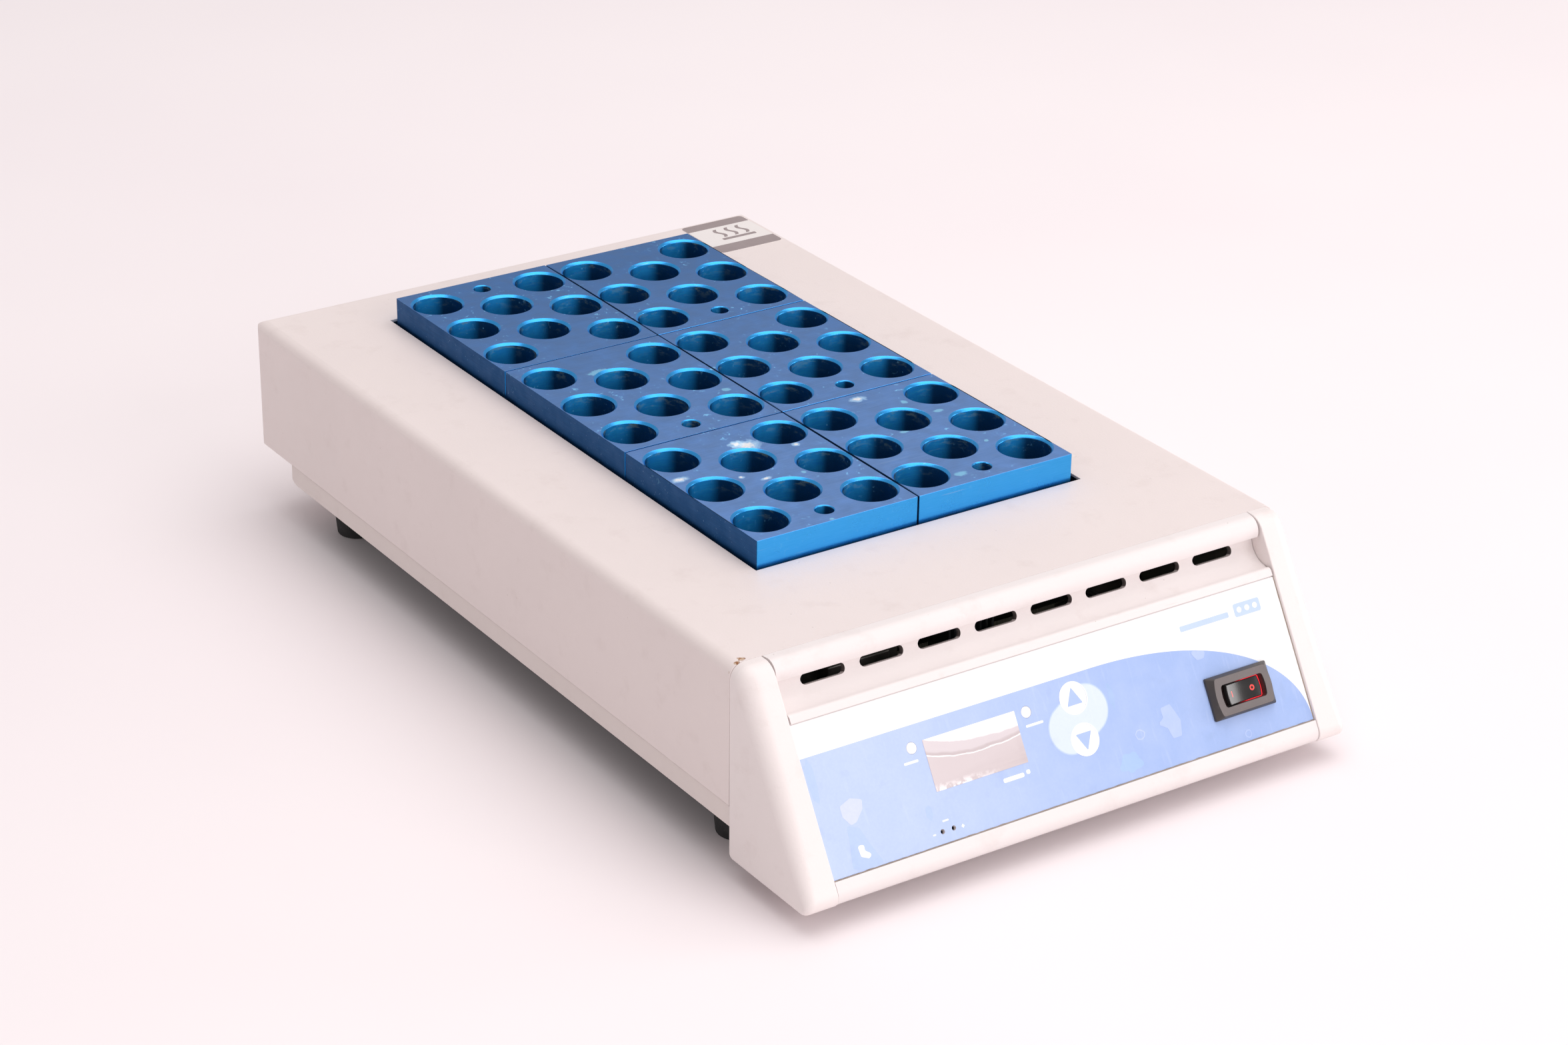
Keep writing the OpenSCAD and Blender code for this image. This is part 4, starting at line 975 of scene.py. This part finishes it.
def build_switch():
    """The switch's guard frame, whose face is barrel-shaped."""
    x, s = PANEL.middle("switch_frame")
    half_w, half_s, proud = PANEL.spread("switch_frame")

    def ring(outline, h):
        return [PANEL.at(px, ps, h) for px, ps in outline]

    foot = round_rectangle(x, s, half_w, half_s, 0.6 * MM, 6, 10)
    face = round_rectangle(x, s, half_w - 2.7 * MM, half_s - 1 * MM, 0.8 * MM, 6, 10, 1.3 * MM)
    opening = round_rectangle(x, s, 9.95 * MM, 4.4 * MM, 0.9 * MM, 6, 10, 0.55 * MM)
    bm = bmesh.new()
    rings = [ring(opening, 0), ring(foot, 0), ring(foot, 1.2 * MM), ring(face, proud), ring(opening, proud),
             ring(opening, 0)]
    loft(bm, rings)
    bmesh.ops.remove_doubles(bm, verts=bm.verts, dist=2 * MICRON)
    round_edges(bm, 0.28 * MM, 3, 25)
    guard = stand_in("switch_guard", bm, "switch_frame")
    guard.data.materials.append(SWITCH_FACE_SHEEN)
    # The outward face gets the lighter copy as painted sheen.
    for polygon in guard.data.polygons:
        polygon.material_index = int(polygon.normal.dot(PANEL.out) > 0.95)


def build_rocker():
    """The rocker's hollow black cap with bowed ends, its red lens and its marks."""
    half_s, half_w, bow, thick = 4.0 * MM, 8.7 * MM, 0.5 * MM, 1.9 * MM
    rows, columns = 3, 12
    bm = bmesh.new()
    lines = []
    for row in range(-rows, rows + 1):
        v = row / rows
        reach = half_w + bow * (1 - v ** 2)
        lines.append([ROCKER.at(u / columns * reach, v * half_s) for u in range(-columns, columns + 1)])
    sheet_of(bm, lines)
    thicken(bm, ROCKER.out * -thick)
    round_edges(bm, 0.3 * MM, 3, 50)
    stand_in("rocker_cap", bm, "switch_rocker")
    rim = round_rectangle(4.7 * MM, 0, 4.65 * MM, 4.3 * MM, 0.8 * MM, 6, 10, 0.35 * MM)
    layer(ROCKER, "lens_rim", rim, LOOKS["rocker_red"], -0.5 * MM, 1.4 * MM, (), "rocker_red", "rocker")
    softened("rocker_lens", 0.2 * MM, 2)
    on_mark = round_rectangle(-6.4 * MM, 0, 0.22 * MM, 1.15 * MM, 0.18 * MM, 4, 3)
    layer(ROCKER, "rocker_on_mark", on_mark, RED_MARK, INK, 2 * INK, (), "rocker_red", "rocker")
    layer(ROCKER, "rocker_off_mark", circle(5.2 * MM, 0, 1.15 * MM), RED_MARK, INK, 2 * INK,
          [circle(5.2 * MM, 0, 0.55 * MM, 32)], "rocker_red", "rocker")


print_blue_field()
print_key_field()
crinkle_window()
print_small_marks()
print_block_sign()
add_residue()
build_switch()
build_rocker()

# ---- blocks ----

def crisp_corners(mesh, low, high, was=1.5 * MM, now=0.45 * MM):
    """Draws the upright corners of a block tighter."""
    for vert in mesh.vertices:
        side_x, side_y = (-1 if vert.co[i] < (low[i] + high[i]) / 2 else 1 for i in (0, 1))
        corner = Vector((high.x if side_x > 0 else low.x, high.y if side_y > 0 else low.y))
        ways = Vector((side_x, side_y))
        out = vert.co.xy - (corner - ways * was)
        if out.x * side_x > -MICRON and out.y * side_y > -MICRON and out.length > was / 3:
            vert.co.xy = corner - ways * now + out.normalized() * (out.length - was + now)


def finish_block(node):
    """A block whose milled top, sawn sides, front and wells each get their own copy of the anodising: greyer
    on the top, dark on the sides as painted shade, with a painted glint in the wells.
    """
    piece = softened(node, 0.3 * MM, 2)
    low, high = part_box(node)
    crisp_corners(piece.data, low, high)
    for look in (BLOCK_TOP, BLOCK_SIDE_SHADE, BLOCK_WELL):
        piece.data.materials.append(look)
    edge, skin, rim = 0.35 * MM, 0.6 * MM, 1.6 * MM
    for face in piece.data.polygons:
        at = face.center
        inside = min(at.x - low.x, high.x - at.x, at.y - low.y, high.y - at.y)
        if face.normal.z > 0.9 and high.z - at.z < edge:
            face.material_index = 1
        elif inside > skin and face.normal.z > 0.3 and high.z - at.z < rim:
            face.material_index = 0
        elif inside > skin:
            face.material_index = 3
        # The sides get the dark copy: painted shade.
        elif abs(face.normal.x) > 0.6:
            face.material_index = 2


for node_name in NODES:
    if node_name.startswith("block_"):
        finish_block(node_name)

# ---- labels ----

LABEL_GREY = print_ink("label_grey", (0.31, 0.25, 0.25), 0.4, (0.42, 0.36, 0.35))
PLATE_GREY = print_ink("plate_grey", (0.1, 0.1, 0.11), 0.45, (0.2, 0.2, 0.2))


def clamped(outline, low, high):
    """The part of an outline between two levels of s."""
    return [(x, min(max(s, low), high)) for x, s in outline]


def top_label():
    """A plain label: two dark stripes, and a sign of rising warmth over a bar."""
    x, s = TOP.middle("top_label")
    half_w, half_s, top = TOP.spread("top_label")
    outline = round_rectangle(x, s, half_w, half_s, 2 * MM, 6)
    paper = layer(TOP, "label_paper", outline, LOOKS["label"], top, top, (), "label")
    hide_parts("top_label")

    def mark(name, shape):
        layer(TOP, name, shape, LABEL_GREY, top + INK, 2 * INK, (), "label")

    low, high = s - half_s, s + half_s
    mark("label_stripe_rear", clamped(outline, high - 6.8 * MM, high))
    mark("label_stripe_front", clamped(outline, low, low + 8.5 * MM))
    mark("label_bar", round_rectangle(x + 2 * MM, s - 3.6 * MM, 9 * MM, 1.1 * MM, 0.5 * MM))
    for i in range(3):
        middle = x + (2 + 6 * (i - 1)) * MM
        wave = [(middle + 1.1 * MM * sin(2 * pi * k / 24), s + (-1.4 + 10 * k / 24) * MM)
                for k in range(25)]
        right = [(at + 0.9 * MM, up) for at, up in wave]
        left = [(at - 0.9 * MM, up) for at, up in wave]
        mark(f"label_wave_{i + 1}", right + left[::-1])


def rating_plate():
    """A metal plate on the back with rows of plain strokes."""
    x, s = BACK.middle("rating_plate")
    half_w, half_s, top = BACK.spread("rating_plate")
    outline = round_rectangle(x, s, half_w, half_s, 2 * MM, 6)
    rivets = [circle(x + i * (half_w - 3 * MM), s, 1 * MM, 20) for i in (-1, 1)]
    plate = layer(BACK, "plate_sheet", outline, LOOKS["plate_label"], top, top, rivets, "plate_label")
    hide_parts("rating_plate")
    for i, length in enumerate((44, 30, 38, 24, 34)):
        across, up = (8 + length / 2) * MM, s + (8 - 4 * i) * MM
        row = round_rectangle(across, up, length / 2 * MM, 0.8 * MM, 0.3 * MM)
        layer(BACK, f"plate_row_{i + 1}", row, PLATE_GREY, top + INK, 2 * INK, (), "plate_label")


top_label()
rating_plate()

# ---- fittings seen from behind and below, and pieces inside ----

# How wide the rounded edges of each are, in mm.
FITTINGS = {
    "bottom_plate": 0.2, "well_liner": 0.25, "mains_inlet": 0.5, "fuse_drawer": 0.4, "inlet_pins": 0.25,
    "rubber_feet": 0.6, "foot_screws": 0.25, "cap_screws": 0.25, "bezel_screws": 0.25, "rear_screws": 0.25,
    "heat_sink": 0.2, "transformer": 0.6, "heater_plate": 0.4, "switch_body": 0.2, "thermal_cutout": 0.3,
    "insulation_pad": 1.0, "plate_pillars": 0.2, "board_pillars": 0.2,
}
for node_name, width in FITTINGS.items():
    softened(node_name, width * MM, 2)

# ---- camera, light and floor ----

CAMERA_AT = Vector((-0.7594, -1.1361, 0.7000))
CAMERA_TURN = (64.427, -0.732, -33.662)


def add_camera():
    data = bpy.data.cameras.new("camera")
    data.lens = 84.04
    data.sensor_width = 36
    data.clip_end = 20
    camera = add_object("camera", data)
    camera.location = CAMERA_AT
    camera.rotation_euler = [radians(a) for a in CAMERA_TURN]
    bpy.context.scene.camera = camera


def add_area(name, at, aim, size, watts, colour=(1, 1, 1)):
    data = bpy.data.lights.new(name, "AREA")
    data.shape = "RECTANGLE"
    data.size, data.size_y = size
    data.energy = watts
    data.color = colour
    light = add_object(name, data)
    light.location = at
    light.rotation_euler = (Vector(aim) - Vector(at)).to_track_quat("-Z", "Y").to_euler()


def add_floor():
    bm = bmesh.new()
    bmesh.ops.create_grid(bm, x_segments=8, y_segments=8, size=6)
    mesh = bpy.data.meshes.new("floor")
    bm.to_mesh(mesh)
    bm.free()
    look = Look("floor_paper", Roughness=0.9)
    tone = look.mix(look.span(look.noise(0.4, 3), 0.35, 0.65), (0.93, 0.865, 0.875), (0.91, 0.84, 0.855))
    look.finish(Base_Color=tone)
    mesh.materials.append(look.material)
    add_object("floor", mesh)


def add_world():
    world = bpy.data.worlds.new("studio")
    world.use_nodes = True
    background = world.node_tree.nodes["Background"]
    background.inputs["Color"].default_value = (1.0, 0.96, 0.965, 1)
    background.inputs["Strength"].default_value = 0.5
    bpy.context.scene.world = world


add_camera()
add_floor()
add_world()
WARM = (1, 0.975, 0.975)
add_area("overhead", (0.3, -0.2, 2.4), (0.1, 0, 0), (3, 3), 44, WARM)
add_area("front", (0.5, -2.1, 1.0), (0, -0.2, 0.05), (1.5, 1.2), 13, WARM)
add_area("low_fill", (-0.1, -1.5, 0.3), (0, -0.25, 0.0), (2.2, 0.5), 2.4, WARM)
add_area("side", (2.2, -0.75, 0.35), (0, -0.1, 0.05), (0.9, 0.7), 10, WARM)
bpy.context.scene.view_settings.view_transform = "Standard"
